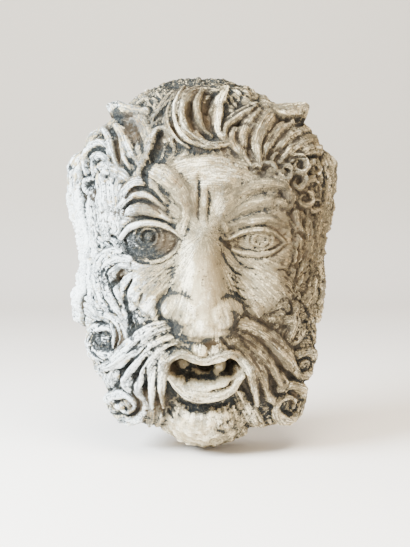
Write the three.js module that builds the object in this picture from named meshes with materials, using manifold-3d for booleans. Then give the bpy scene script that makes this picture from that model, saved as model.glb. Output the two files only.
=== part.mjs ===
// Fountain mask: the head of a horned, goat-eared satyr in cast stone, open-mouthed, with a flat back.
// Units are millimetres. X runs to the viewer's right, +Z up, and the face looks along -Y.
// The flat back lies in the plane Y = 0 and the origin is the middle of that back.
import * as THREE from 'three'
import Module from 'manifold-3d'

// Driving dimensions
const DOME_DEPTH = 108
const SIDE_EXPONENT = 2.4
const TOP_EXPONENT_GAIN = 1.2
const HAIR_FLOOR = -2.5
const LOCK_RELIEF = 0.65
const MOUSTACHE_RELIEF = 0.92
const STROKE_STEP = 2
const GRID = 257
const FRONT_TRIANGLES = 9200
const RIM_WEIGHT = 20
const SLIVER_WEIGHT = 0.002
const FLIP_LIMIT = 0.2

const MOUTH_DEPTH = 38
const MOUTH_HALF_WIDTH = 39
const PIPE_DIAMETER = 22
const PIPE_X = 0
const PIPE_Z = -99
const PIPE_SEGMENTS = 28
const NOSE_AXIS_X = -4

const LEFT_EYE = { x: -61, z: 34 }
const RIGHT_EYE = { x: 57, z: 31 }

const STONE_COLOUR = '#cfc8b8'
const STONE_ROUGHNESS = 0.92

// Outline of the head without horns and ears: radius by angle above the horizontal, side by side
const LEFT_RIM = [
  [-90, 202], [-84, 199], [-79, 190], [-74, 187], [-66, 192], [-61, 192], [-56, 186], [-52, 174],
  [-46, 170], [-37, 162], [-29, 149], [0, 131], [15, 137], [30, 155], [38, 170], [45, 184],
  [52, 190], [60, 191], [67, 195], [73, 200], [80, 203], [90, 204],
]
const RIGHT_RIM = [
  [-90, 202], [-84, 201], [-79, 196], [-74, 190], [-68, 195], [-62, 202], [-57, 194], [-52, 181],
  [-48, 173], [-43, 168], [-37, 155], [-29, 144], [0, 131], [15, 137], [30, 155], [38, 174],
  [45, 187], [52, 193], [60, 193], [67, 194], [73, 198], [80, 202], [90, 204],
]
const RIM_BLUR_DEGREES = 2.2

// Small helpers
const rad = THREE.MathUtils.degToRad
const clamp = THREE.MathUtils.clamp

function ease(from, to, value) {
  const t = clamp((value - from) / (to - from), 0, 1)
  return t * t * (3 - 2 * t)
}

function interpolate(table, value) {
  if (value <= table[0][0]) return table[0][1]
  for (let i = 1; i < table.length; i += 1) {
    const [a, u] = table[i - 1]
    const [b, v] = table[i]
    if (value <= b) return u + ((v - u) * (value - a)) / (b - a)
  }
  return table[table.length - 1][1]
}

// One side's rim radii, blurred once into a fine table
const RIM_STEPS_PER_DEGREE = 4

function blurredRim(rim) {
  const last = 180 * RIM_STEPS_PER_DEGREE
  const raw = []
  for (let i = 0; i <= last; i += 1) {
    raw.push(interpolate(rim, i / RIM_STEPS_PER_DEGREE - 90))
  }
  const reach = 10 * RIM_STEPS_PER_DEGREE
  const sigma = RIM_BLUR_DEGREES * RIM_STEPS_PER_DEGREE
  return raw.map((_, i) => {
    let sum = 0
    let weight = 0
    for (let k = -reach; k <= reach; k += 1) {
      let j = i + k
      if (j < 0) j = -j
      if (j > last) j = 2 * last - j
      const g = Math.exp(-0.5 * (k / sigma) ** 2)
      sum += raw[j] * g
      weight += g
    }
    return sum / weight
  })
}

const leftRim = blurredRim(LEFT_RIM)
const rightRim = blurredRim(RIGHT_RIM)

function rimRadius(angle) {
  const degrees = THREE.MathUtils.radToDeg(Math.atan2(Math.sin(angle), Math.abs(Math.cos(angle))))
  const f = (degrees + 90) * RIM_STEPS_PER_DEGREE
  const rim = Math.cos(angle) < 0 ? leftRim : rightRim
  const i = Math.min(Math.floor(f), rim.length - 2)
  return rim[i] + (rim[i + 1] - rim[i]) * (f - i)
}

function domeExponent(angle) {
  return SIDE_EXPONENT + TOP_EXPONENT_GAIN * Math.sin(angle) ** 2
}

// Points here are [x, z, d]: across, up, and depth from the back towards the viewer
function domePoint(rho, angle) {
  const n = domeExponent(angle)
  const s = Math.sin((rho * Math.PI) / 2)
  const c = Math.max(Math.cos((rho * Math.PI) / 2), 0)
  const k = (s ** n + c ** n) ** (-1 / n)
  const r = s * k * rimRadius(angle)
  return [r * Math.cos(angle), r * Math.sin(angle), c * k * DOME_DEPTH]
}

function domeDepth(x, z) {
  const angle = Math.atan2(z, x)
  const n = domeExponent(angle)
  const s = Math.min(Math.hypot(x, z) / rimRadius(angle), 1)
  return DOME_DEPTH * (1 - s ** n) ** (1 / n)
}

function onDome([x, z, d]) {
  if (d !== undefined) return [x, z, d]
  const r = Math.hypot(x, z)
  const limit = 0.985 * rimRadius(Math.atan2(z, x))
  const k = r > limit ? limit / r : 1
  return [x * k, z * k, domeDepth(x * k, z * k)]
}

function curveSamples(points) {
  const anchors = points.map((p) => new THREE.Vector3(...onDome(p)))
  const curve = new THREE.CatmullRomCurve3(anchors, false, 'catmullrom', 0.5)
  const count = Math.max(4, Math.ceil(curve.getLength() / STROKE_STEP))
  return curve.getPoints(count)
}

function spiral(x, z, outer, inner, startDegrees, turns) {
  const count = Math.max(6, Math.floor(Math.abs(turns) * 10))
  const points = []
  for (let i = 0; i <= count; i += 1) {
    const t = i / count
    const a = rad(startDegrees) + 2 * Math.PI * turns * t
    const r = outer + (inner - outer) * t
    points.push([x + r * Math.cos(a), z + r * Math.sin(a)])
  }
  return points
}

function ring(x, z, radius, squash) {
  const points = []
  for (let i = 0; i <= 18; i += 1) {
    const a = (i * Math.PI) / 9
    points.push([x + radius * Math.cos(a), z + radius * squash * Math.sin(a)])
  }
  return points
}

// The relief is one height over the dome, kept at every point of a square grid wrapped onto it
class Relief {
  constructor(size) {
    this.size = size
    this.count = size * size
    this.points = new Float64Array(this.count * 3)
    this.normals = new Float64Array(this.count * 3)
    this.height = new Float64Array(this.count)
    this.layPoints()
    this.layNormals()
  }

  layPoints() {
    for (let row = 0; row < this.size; row += 1) {
      for (let column = 0; column < this.size; column += 1) {
        const u = (2 * column) / (this.size - 1) - 1
        const v = (2 * row) / (this.size - 1) - 1
        const a = u * Math.sqrt(1 - (v * v) / 2)
        const b = v * Math.sqrt(1 - (u * u) / 2)
        const edge = Math.abs(u) === 1 || Math.abs(v) === 1
        const rho = edge ? 1 : Math.min(Math.hypot(a, b), 1)
        const point = domePoint(rho, Math.atan2(b, a))
        if (edge) point[2] = 0
        this.points.set(point, (row * this.size + column) * 3)
      }
    }
  }

  layNormals() {
    const at = (row, column) => {
      const r = clamp(row, 0, this.size - 1)
      const c = clamp(column, 0, this.size - 1)
      return new THREE.Vector3().fromArray(this.points, (r * this.size + c) * 3)
    }
    for (let row = 0; row < this.size; row += 1) {
      for (let column = 0; column < this.size; column += 1) {
        const across = at(row, column + 1).sub(at(row, column - 1))
        const along = at(row + 1, column).sub(at(row - 1, column))
        const normal = across.cross(along).normalize()
        const k = (row * this.size + column) * 3
        if (this.points[k + 2] === 0) {
          normal.set(this.points[k], this.points[k + 1], 0).normalize()
        }
        normal.toArray(this.normals, k)
      }
    }
  }

  each(visit) {
    for (let i = 0; i < this.count; i += 1) {
      visit(i, this.points[i * 3], this.points[i * 3 + 1], this.points[i * 3 + 2])
    }
  }

  // A soft elliptical swelling, or a hollow where the height is negative
  bump(x0, z0, rx, rz, height, { turn = 0, power = 1.5 } = {}) {
    const c = Math.cos(rad(turn))
    const s = Math.sin(rad(turn))
    this.each((i, x, z, d) => {
      if (d < 20) return
      const p = ((x - x0) * c + (z - z0) * s) / rx
      const q = (-(x - x0) * s + (z - z0) * c) / rz
      const inside = 1 - p * p - q * q
      if (inside > 0) this.height[i] += height * inside ** power
    })
  }

  // Visit the grid points near a stroke with their distance from it and the place along it
  alongStroke(points, reach, visit) {
    const samples = curveSamples(points)
    const box = new THREE.Box3().setFromPoints(samples).expandByScalar(reach)
    const last = samples.length - 1
    const tangents = samples.map((_, i) => {
      const a = samples[Math.max(i - 1, 0)]
      const b = samples[Math.min(i + 1, last)]
      return b.clone().sub(a)
    })
    const offset = new THREE.Vector3()
    const normal = new THREE.Vector3()
    const point = new THREE.Vector3()
    this.each((i, x, z, d) => {
      if (x < box.min.x || x > box.max.x) return
      if (z < box.min.y || z > box.max.y) return
      if (d < box.min.z || d > box.max.z) return
      point.set(x, z, d)
      normal.fromArray(this.normals, i * 3)
      let best = Infinity
      let nearest = 0
      for (let k = 0; k <= last; k += 1) {
        offset.subVectors(point, samples[k])
        const lift = offset.dot(normal)
        const score = offset.lengthSq() - 0.75 * lift * lift
        if (score < best) {
          best = score
          nearest = k
        }
      }
      offset.subVectors(point, samples[nearest])
      offset.addScaledVector(normal, -offset.dot(normal))
      const span = tangents[nearest].length() / (nearest === 0 || nearest === last ? 1 : 2)
      const run = offset.dot(tangents[nearest]) / tangents[nearest].length()
      const past = (nearest === 0 && run < 0) || (nearest === last && run > 0)
      const full = offset.length()
      const distance = past ? full : Math.sqrt(Math.max(full * full - run * run, 0))
      if (distance > reach) return
      const place = clamp((nearest + clamp(run / span, -0.5, 0.5)) / last, 0, 1)
      visit(i, distance, place)
    })
  }

  // A soft ridge or groove added along a stroke
  crease(points, width, height, { ends = [0.6, 0.6], rise = [0.5, 0.5] } = {}) {
    this.alongStroke(points, width, (i, distance, place) => {
      const u = distance / (width * taper(place, ends))
      if (u < 1) this.height[i] += height * taper(place, rise) * (1 - u * u) ** 1.5
    })
  }

  // A lock of hair, a lid or a lip: a rounded strip laid over what is already there
  lock(points, width, height, options = {}) {
    const { ends = [0.7, 0.3], rise = [0.7, 0.4], floor = HAIR_FLOOR, power = 0.7, moat = 0.6 } = options
    this.alongStroke(points, width * 1.4, (i, distance, place) => {
      const u = distance / (width * taper(place, ends))
      let h = this.height[i]
      if (moat > 0 && u > 0.9) h -= moat * Math.exp(-(((u - 1.08) / 0.16) ** 2))
      if (u < 1) {
        const crown = floor + (height * taper(place, rise) - floor) * (1 - u * u) ** power
        const blend = 0.5 * (h + crown + Math.hypot(h - crown, 1)) - 0.15
        h = Math.max(h, blend)
      }
      this.height[i] = h
    })
  }

  // A slot cut between two locks
  slot(points, width, depth) {
    this.alongStroke(points, width * 1.1, (i, distance, place) => {
      const u = distance / (width * taper(place, [0.5, 0.5]))
      if (u < 1) this.height[i] -= depth * (1 - u * u) ** 1.3
    })
  }

  place(i, target) {
    const h = this.height[i]
    const k = i * 3
    target.fromArray(this.points, k)
    const depth = target.z
    target.x += this.normals[k] * h
    target.y += this.normals[k + 1] * h
    target.z = depth === 0 ? 0 : Math.max(depth + this.normals[k + 2] * h, 0.25 * depth)
    return target
  }
}

function taper(place, [first, last]) {
  const opening = first + (1 - first) * ease(0, 0.35, place)
  return opening * (last + (1 - last) * (1 - ease(0.5, 1, place)))
}

// Broad forms of the skull, cheeks, muzzle, chin and eye sockets
function carveAnatomy(relief) {
  relief.each((i, x, z) => {
    const faceOval = Math.hypot(x / 92, (z - 26) / 90)
    const beardOval = Math.hypot(x / 76, (z + 60) / 130)
    const hair = z > -50 ? ease(0.97, 1.12, faceOval) : 0
    const beard = z < 0 ? ease(1, 1.15, beardOval) : 0
    relief.height[i] += HAIR_FLOOR * Math.max(hair, beard)
  })
  relief.bump(0, 92, 62, 40, 5)
  relief.bump(-3, 62, 36, 32, 6)
  relief.bump(-60, -26, 38, 36, 12)
  relief.bump(62, -26, 40, 36, 13)
  relief.bump(-2, -84, 66, 46, 21, { power: 1.2 })
  relief.bump(0, -166, 50, 32, 12)
  relief.bump(-59, 32, 34, 28, -14, { turn: -6, power: 1 })
  relief.bump(54, 28, 36, 20, -8, { turn: 4, power: 1 })
}

// Long goat ears hanging down the sides, behind the hair
function carveEars(relief) {
  const ear = [
    [135, 115, 36], [142, 94, 32], [140, 60, 28], [133, 24, 27], [130, -10, 26], [133, -40, 24],
    [134, -60, 20],
  ]
  const flare = [[140, 110, 34], [144, 92, 30], [141, 62, 28], [135, 34, 27]]
  const lobe = [[131, -20, 26], [134, -40, 24], [135, -56, 20]]
  const left = { side: -1, flareWidth: 22, flareHeight: 9, lobeHeight: 5 }
  const right = { side: 1, flareWidth: 20, flareHeight: 7, lobeHeight: -2 }
  for (const { side, flareWidth, flareHeight, lobeHeight } of [left, right]) {
    const onSide = (points) => points.map(([x, z, d]) => [side * x, z, d])
    const strip = { power: 0.6, moat: 2, floor: -1, ends: [0.8, 0.55], rise: [1, 1] }
    relief.lock(onSide(ear), 17, 6, strip)
    relief.crease(onSide(flare), flareWidth, flareHeight, { ends: [0.9, 0.6], rise: [1, 0.3] })
    relief.crease(onSide(lobe), 17, lobeHeight, { ends: [0.7, 0.7], rise: [0.4, 1] })
  }
}

// Nose: ridge height and half width by level, then the ball and the nostril wings
const NOSE_HEIGHT = [
  [-73, 0], [-67, 12], [-61, 30], [-55, 43], [-48, 50], [-39, 52], [-29, 50], [-15, 42],
  [0, 34], [20, 23], [34, 15], [46, 9], [58, 0],
]
const NOSE_HALF_WIDTH = [[-72, 32], [-54, 34], [-35, 36], [-10, 35], [20, 29], [46, 22], [58, 20]]

function carveNose(relief) {
  relief.each((i, x, z, d) => {
    if (d < 30) return
    const u = (x - NOSE_AXIS_X) / interpolate(NOSE_HALF_WIDTH, z)
    if (Math.abs(u) < 1) relief.height[i] += interpolate(NOSE_HEIGHT, z) * (1 - u * u) ** 1.7
  })
  relief.bump(NOSE_AXIS_X, -41, 23, 21, 6, { power: 0.8 })
  relief.bump(-30, -39, 18, 16, 17, { turn: 12, power: 0.9 })
  relief.bump(20, -42, 18, 16, 17, { turn: -12, power: 0.9 })
  relief.crease([[-38, -20], [-50, -36], [-46, -56]], 6, -4)
  relief.crease([[30, -24], [41, -40], [38, -58]], 6, -4)
}

// Each slot below is its path, half width and depth
const LID_SLOTS = [
  [[[-89, 33], [-80, 43], [-62, 46.5], [-42, 42.5], [-27, 33]], 1.8, 2],
  [[[-86, 30], [-82, 19], [-72, 9], [-60, 7]], 3.6, 3],
  [[[-80, 26], [-70, 20], [-58, 20], [-48, 26]], 2, 2],
  [[[-30, 30], [-34, 22], [-42, 16]], 1.8, 2],
]
const LEFT_BROW_SLOTS = [
  [[[-87, 57], [-83, 67], [-74, 73], [-64, 73], [-56, 67], [-48, 58]], 2.4, 3],
  [[[-83, 75], [-76, 82], [-67, 85], [-58, 82], [-51, 74]], 2.8, 4],
  [[[-84, 55], [-66, 54], [-50, 53]], 1.6, 2],
]
const RIGHT_CORNER_SLOTS = [
  [[[13, 34], [15, 30]], 3, 3],
  [[[17, 30], [25, 23]], 4, 4],
  [[[24, 22], [31, 11], [40, 3], [50, 1]], 1.8, 2],
  [[[13, 27], [16, 15], [26, 1], [36, -6]], 1.8, 2],
]

function cutSlots(relief, slots) {
  for (const [path, width, depth] of slots) relief.slot(path, width, depth)
}

function carveLeftEye(relief) {
  const { x, z } = LEFT_EYE
  const even = { ends: [1, 1], rise: [1, 1] }
  const plain = { power: 0.85 }
  relief.bump(x + 1, z - 3, 27, 21, 10, { power: 0.6 })
  relief.crease(ring(x, z, 9.8, 0.92), 2.4, 2.2, even)
  relief.crease(ring(x, z, 15.5, 0.92), 2.8, 2.4, even)
  relief.bump(x, z, 5, 5, 2, { power: 0.7 })
  relief.crease(ring(x, z, 6.6, 0.97), 2.2, -2.6, even)
  const upperLid = [[-90, 33], [-80, 44], [-62, 48.5], [-42, 44.5], [-26, 34]]
  const lowerLid = [[-90, 31], [-85, 19], [-70, 8], [-50, 9], [-34, 19], [-26, 33]]
  relief.lock(upperLid, 4.6, 5, { ...plain, floor: -5, ends: [0.8, 0.6], rise: [0.8, 0.6] })
  relief.lock(lowerLid, 5, 0.5, { ...plain, floor: -9, ends: [0.8, 0.8], rise: [1, 1] })
  cutSlots(relief, LID_SLOTS)
  const fold = [[-88, 58], [-78, 63], [-66, 64], [-52, 60], [-38, 52]]
  const lowBrow = [[-90, 66], [-80, 76], [-68, 79], [-56, 75], [-44, 64]]
  const highBrow = [[-88, 78], [-76, 89], [-62, 89], [-50, 81], [-42, 70]]
  relief.lock(highBrow, 9, 4.5, { ...plain, floor: -2, ends: [0.7, 0.4] })
  relief.lock(lowBrow, 8, 5, { ...plain, floor: -3, ends: [0.7, 0.4] })
  relief.lock(fold, 8, 4, { ...plain, floor: -4, ends: [0.7, 0.5] })
  cutSlots(relief, LEFT_BROW_SLOTS)
}

function carveRightEye(relief) {
  const { x, z } = RIGHT_EYE
  const even = { ends: [1, 1], rise: [1, 1] }
  const plain = { power: 0.85 }
  relief.bump(x, z, 24, 13, 5, { power: 0.6 })
  relief.crease(ring(x, z, 8.5, 0.8), 2.4, 1.6, even)
  relief.crease(ring(x, z, 14, 0.8), 2.6, 1.6, even)
  const upperLid = [[20, 31], [34, 38], [52, 42], [70, 39], [84, 28]]
  const lowerLid = [[22, 24], [34, 18], [52, 15], [70, 17], [84, 27]]
  relief.lock(upperLid, 4.5, 1.5, { ...plain, floor: -5, ends: [0.7, 0.6] })
  relief.lock(lowerLid, 4.5, -1, { ...plain, floor: -6, ends: [0.7, 0.7] })
  cutSlots(relief, RIGHT_CORNER_SLOTS)
  const bag = [[16, 18], [26, 4], [44, -3], [64, -1], [82, 9]]
  const lowerBag = [[12, 10], [24, -8], [44, -14], [64, -12]]
  relief.lock(bag, 7, 2, { ...plain, floor: -2, ends: [0.5, 0.4] })
  relief.lock(lowerBag, 7, 1, { ...plain, floor: -1.5, ends: [0.5, 0.3] })
  const lowBrow = [[24, 46], [44, 51], [66, 53], [86, 44]]
  const middleBrow = [[20, 54], [40, 66], [64, 72], [86, 67], [98, 52]]
  const highBrow = [[14, 60], [34, 80], [58, 90], [84, 86], [104, 68]]
  relief.lock(lowBrow, 7, 2, { ...plain, floor: -2, ends: [0.6, 0.4] })
  relief.lock(middleBrow, 9, 2.5, { ...plain, floor: -2, ends: [0.6, 0.4] })
  relief.lock(highBrow, 10, 3, { ...plain, floor: -2, ends: [0.6, 0.4] })
}

// Knitted swellings between the brows, and the two upright lines of the frown
function carveFrown(relief) {
  const soft = { floor: -1, power: 0.9, moat: 0 }
  const left = [[-66, 108], [-44, 98], [-27, 82], [-19, 62], [-25, 42]]
  const right = [[30, 92], [15, 80], [9, 62], [17, 44]]
  relief.lock(left, 14, 8, { ...soft, ends: [0.5, 0.6], rise: [0.3, 0.7] })
  relief.crease([[-9, 100], [-8, 80], [-10, 50]], 2.8, -4.5)
  relief.crease([[1, 86], [2.5, 70], [0, 48]], 2.8, -4.5)
  relief.lock(right, 11, 6, { ...soft, ends: [0.5, 0.7], rise: [0.4, 0.7] })
}

// Open mouth: upper and lower edge of the opening by x
const UPPER_EDGE = [
  [-41, -102], [-34, -93], [-27, -89], [-18, -93], [-5, -97], [6, -95], [14, -91], [24, -90],
  [31, -94], [37, -103],
]
const LOWER_EDGE = [
  [-41, -102], [-34, -112], [-24, -119], [-10, -122], [4, -122], [18, -118], [28, -112],
  [37, -103],
]

function carveMouth(relief) {
  relief.each((i, x, z, d) => {
    if (d < 30 || Math.abs(x + 2) > MOUTH_HALF_WIDTH) return
    const inside = Math.min(interpolate(UPPER_EDGE, x) - z, z - interpolate(LOWER_EDGE, x))
    relief.height[i] -= MOUTH_DEPTH * ease(-1, 6, inside)
  })
  relief.bump(16, -105, 10, 16, 19, { power: 0.7 })
  relief.bump(-27, -106, 9, 16, 13, { power: 0.8 })
  relief.bump(-4, -117, 26, 10, 14, { power: 0.8 })
  const lower = [[-38, -110], [-27, -122], [-9, -130], [10, -130], [25, -123], [37, -110]]
  const upper = [
    [-46, -98], [-34, -86], [-25, -82], [-14, -86], [-3, -90], [12, -85], [26, -83], [36, -88],
    [44, -98],
  ]
  const rise = [0.8, 0.8]
  relief.lock(lower, 7.5, 20, { rise, floor: 8, power: 0.9, ends: [0.5, 0.5] })
  relief.crease([[-30, -138], [-20, -145], [-4, -147], [22, -142]], 6, -6)
  relief.lock(upper, 5, 23, { rise, floor: 12, power: 0.8, ends: [0.7, 0.7], moat: 0 })
  relief.bump(-8, -76, 9, 12, 5, { power: 1 })
}

// Each entry below is one lock: its path, half width, height and any further shape
const CROWN_LOCKS = 12
const CROWN_SPREAD_DEGREES = 66

function carveCrown(relief) {
  for (let i = 0; i < CROWN_LOCKS; i += 1) {
    const s = Math.sin(rad(-CROWN_SPREAD_DEGREES + i * 12))
    const x = 92 * s
    const z = 196 - 18 * s * s
    const sway = 10 * Math.sin(i * 2.4)
    const path = [
      [x * 0.9, z, 6], [x + sway * 0.4, z - 2, 34], [x + sway, z - 12, 62],
      [x * 0.9 + sway * 1.6, z - 28],
    ]
    relief.lock(path, 14, 2, { ends: [0.9, 0.7], rise: [0.9, 0.7], floor: -1.5 })
  }
}

const CURL_RIM = { moat: 1, power: 0.8, rise: [0.7, 0.5], ends: [0.7, 0.5] }
const SHALLOW = { floor: -0.8, moat: 0, rise: [0.8, 0.6], ends: [0.8, 0.6] }
const STRAND = { floor: 2, power: 0.8, moat: 0.4, ends: [0.6, 0.35], rise: [0.9, 0.45] }

const LEFT_HAIR = [
  [[[-72, 176], [-62, 186], [-48, 190], [-30, 190]], 8, 5],
  [[[-76, 168], [-64, 178], [-54, 174], [-49, 164], [-54, 156]], 8, 6],
  [[[-50, 156], [-47, 168], [-39, 180], [-26, 189], [-8, 192]], 8, 6],
  [[[-28, 184], [-36, 172], [-39, 158], [-40, 144], [-35, 128]], 9, 7],
  [[[-52, 162], [-57, 148], [-63, 132], [-70, 116], [-72, 100]], 10, 4, SHALLOW],
  [[[-60, 122], [-57, 136], [-51, 146], [-43, 147], [-37, 139], [-34, 124]], 3.6, 6, CURL_RIM],
  [[[-100, 153], [-88, 160], [-75, 160], [-66, 152], [-62, 139], [-63, 124], [-59, 110]], 10, 8],
  [[[-95, 152], [-88, 143], [-83, 130], [-77, 117], [-66, 104]], 7, 8],
  [[[-108, 149], [-102, 136], [-98, 120], [-92, 106]], 5, 7, CURL_RIM],
  [[[-91, 148], [-88, 134], [-86, 118], [-80, 106]], 4, 7, CURL_RIM],
  [[[-96, 100], [-97, 80], [-98, 60], [-97, 42]], 13, 2.5, SHALLOW],
  [[[-112, 96], [-109, 78], [-109, 58], [-107, 36]], 12, 3, SHALLOW],
  [[[-123, 78], [-123, 56], [-121, 34], [-118, 10]], 11, 3.5, SHALLOW],
  [[[-136, 98], [-135, 120], [-127, 136], [-114, 146], [-103, 142]], 8, 6],
  [[[-127, 102], [-127, 117], [-119, 130], [-107, 131], [-100, 120], [-95, 106]], 6.5, 7],
  [[[-118, 98], [-119, 111], [-112, 119], [-104, 115], [-99, 104]], 5, 6, CURL_RIM],
  [[[-122, 98], [-109, 106], [-96, 103], [-84, 95], [-72, 82]], 9, 3.5, { floor: -1 }],
  [spiral(-123, 86, 9, 4, 60, 1), 5, 5],
  [[[-128, 14], [-127, -10], [-124, -32], [-116, -50]], 9, 4],
  [[[-90, 20], [-102, 17], [-112, 8], [-118, -6], [-116, -24], [-108, -42], [-98, -58]], 9, 4],
  [[[-82, 11], [-93, 11], [-103, 4], [-108, -8], [-105, -24], [-96, -41], [-85, -58]], 8, 6],
  [[[-82, 4], [-91, 3], [-98, -5], [-97, -17], [-90, -32], [-85, -42]], 5, 6, CURL_RIM],
  [[[-72, -10], [-76, -24], [-75, -40], [-70, -56]], 4, 5, CURL_RIM],
]
const LEFT_SLOTS = [
  [[[-38, 174], [-46, 164], [-54, 156]], 3.5, 4],
  [[[-58, 180], [-56, 172]], 3, 4],
  [[[-48, 141], [-50, 128], [-57, 114], [-64, 101], [-62, 88]], 7.5, 5],
  [[[-94, 141], [-93, 128], [-92, 113]], 4.2, 5],
  [[[-84, 146], [-80, 136]], 3, 4],
  [[[-71, 142], [-67, 130], [-66, 122]], 3.2, 4],
  [[[-78, 116], [-74, 106], [-78, 100]], 3, 3],
  [[[-124, 110], [-123, 122], [-114, 128], [-104, 126]], 2.4, 4],
  [[[-116, 122], [-116, 110], [-111, 101]], 2.4, 4],
  [[[-136, 112], [-133, 104]], 4, 3],
  [[[-126, 90], [-121, 92], [-119, 84]], 3, 4],
  [[[-121, 79], [-118, 70]], 2, 2.5],
  [[[-104, 2], [-109, -9], [-107, -24]], 2.6, 4],
  [[[-90, -8], [-96, -14], [-99, -24]], 4, 6],
  [[[-77, -12], [-83, -24], [-84, -38], [-80, -52], [-77, -62]], 5.5, 7],
  [[[-64, -24], [-68, -34]], 2, 3],
]

const FORELOCK = [
  [[[14, 194], [34, 188], [50, 182], [68, 172]], 9, 6],
  [[[8, 190], [22, 184], [36, 179], [52, 173]], 6, 6],
  [[[66, 168], [53, 162], [44, 151], [38, 138], [39, 122], [46, 108]], 9, 10],
  [[[56, 172], [44, 167], [32, 159], [22, 152], [19, 141], [25, 128]], 7, 9],
  [[[30, 146], [27, 136], [33, 125], [42, 113]], 6, 8],
  [[[14, 188], [-4, 189], [-19, 180], [-25, 164], [-22, 148], [-10, 136], [8, 129], [28, 131]], 9, 12],
  [[[-4, 186], [-9, 173], [-8, 158], [-3, 146], [6, 138]], 5, 15],
  [[[22, 188], [15, 175], [12, 160], [12, 145], [20, 132]], 7, 12, { ends: [0.9, 0.5] }],
  [[[-21, 188], [-30, 176], [-33, 161], [-29, 145], [-19, 134], [-2, 127], [14, 127]], 2.8, 16, CURL_RIM],
  [[[-14, 184], [-23, 174], [-26, 160], [-23, 147], [-13, 138], [2, 132], [16, 132]], 2.4, 16, CURL_RIM],
  [[[-36, 178], [-40, 162], [-38, 147], [-30, 135], [-18, 127]], 2.6, 10, CURL_RIM],
]
const FORELOCK_SLOTS = [
  [[[-16, 172], [-18, 158], [-13, 144]], 5.5, 6],
  [[[9, 183], [3, 174], [0, 163]], 4.2, 6],
  [[[-2, 160], [0, 148]], 2.6, 3],
  [[[50, 171], [38, 164], [26, 157], [17, 150], [15, 140]], 2.4, 4],
  [[[29, 151], [37, 152], [45, 149]], 4, 4],
  [[[30, 144], [31, 134]], 2.6, 3],
  [[[40, 184], [36, 174]], 2.2, 2.5],
  [[[22, 178], [30, 171]], 2, 2.5],
]

const RIGHT_HAIR = [
  [[[132, 126], [115, 128], [101, 122], [88, 112]], 9, 6],
  [[[124, 138], [106, 136], [90, 126], [77, 112]], 9, 7],
  [[[116, 148], [98, 144], [82, 134], [69, 116]], 9, 8],
  [[[106, 158], [90, 154], [74, 143], [63, 126], [60, 110]], 9, 9],
  [[[94, 170], [74, 166], [59, 152], [52, 134], [55, 110]], 13, 11],
  [[[96, 58], [99, 36], [98, 10], [91, -14], [86, -38]], 11, 4],
  [[[112, 64], [112, 38], [109, 12], [101, -12], [94, -34]], 11, 5],
  [[[124, 84], [126, 54], [124, 24], [120, -6], [110, -34]], 11, 5],
  [[[122, -8], [117, -28], [107, -48], [94, -64]], 12, 6],
  [[[70, 100], [84, 92], [90, 78], [92, 62]], 10, 3, SHALLOW],
  [spiral(84, 104, 9, 3, 200, 1), 4.5, 6],
  [spiral(99, 109, 11, 4, 150, -1.1), 5, 7],
  [spiral(98, 92, 10, 4, 120, -1), 5, 6],
  [spiral(118, 105, 9, 4, 160, -0.9), 5, 6],
  [spiral(115, 88, 8, 4, 20, 0.9), 4.5, 6],
  [spiral(106, 74, 10, 3, 90, -1.1), 4.5, 7],
  [spiral(120, 68, 8, 3, 200, 1), 4.5, 5],
  [spiral(66, 104, 8, 3, 150, -0.9), 4, 6],
  [spiral(51, 104, 6, 2.5, 30, 0.9), 3.2, 5],
]
const RIGHT_SLOTS = [
  [[[79, 127], [73, 123]], 3, 4],
  [[[71, 141], [66, 132]], 2.4, 3],
  [[[60, 110], [61, 104]], 3, 4],
  [[[44, 106], [48, 103]], 3, 3],
  [[[85, 113], [94, 118], [104, 117]], 2.6, 4],
  [[[92, 96], [90, 88], [96, 82]], 2.6, 4],
  [[[118, 100], [121, 94]], 3.2, 4],
  [[[112, 86], [108, 82]], 3, 4],
  [[[96, 70], [92, 58], [95, 46]], 3, 3],
  [[[114, 78], [118, 66]], 3, 3],
  [[[99, 38], [105, 32]], 5, 4],
  [[[98, 26], [98, 6], [99, -18]], 3, 4],
  [[[104, -36], [110, -50], [118, -56]], 3, 4],
]

const BEARD = [
  [[[-44, -128], [-46, -150], [-52, -180]], 10, 6],
  [[[-58, -126], [-58, -150], [-60, -178]], 9, 7],
  [[[-70, -114], [-71, -128], [-67, -142]], 6, 9],
  [[[-116, -96], [-112, -110], [-106, -122], [-100, -136]], 10, 6],
  [[[-92, -96], [-99, -110], [-100, -126], [-92, -140]], 9, 7],
  [[[-80, -112], [-84, -124], [-80, -138]], 9, 7],
  [spiral(-87, -149, 24, 7, 55, -1.45), 9, 11],
  [spiral(-108, -76, 25, 9, 85, -1.3), 10, 8],
  [[[-101, -58], [-96, -70], [-98, -84]], 3.6, 9, CURL_RIM],
  [[[56, -112], [66, -130], [76, -150]], 11, 8],
  [[[72, -108], [82, -122], [88, -138]], 10, 8],
  [[[32, -128], [42, -146], [54, -166], [70, -182, 50]], 12, 9],
  [[[112, -46], [118, -64], [121, -84], [122, -104]], 11, 6],
  [[[96, -40], [96, -56], [90, -74], [92, -92]], 10, 8],
  [spiral(88, -70, 17, 6, 150, -1.1), 8, 7],
  [spiral(109, -109, 18, 6, 120, -1.2), 9, 8],
  [spiral(90, -150, 25, 7, 120, -1.4), 10, 12],
]
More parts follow.
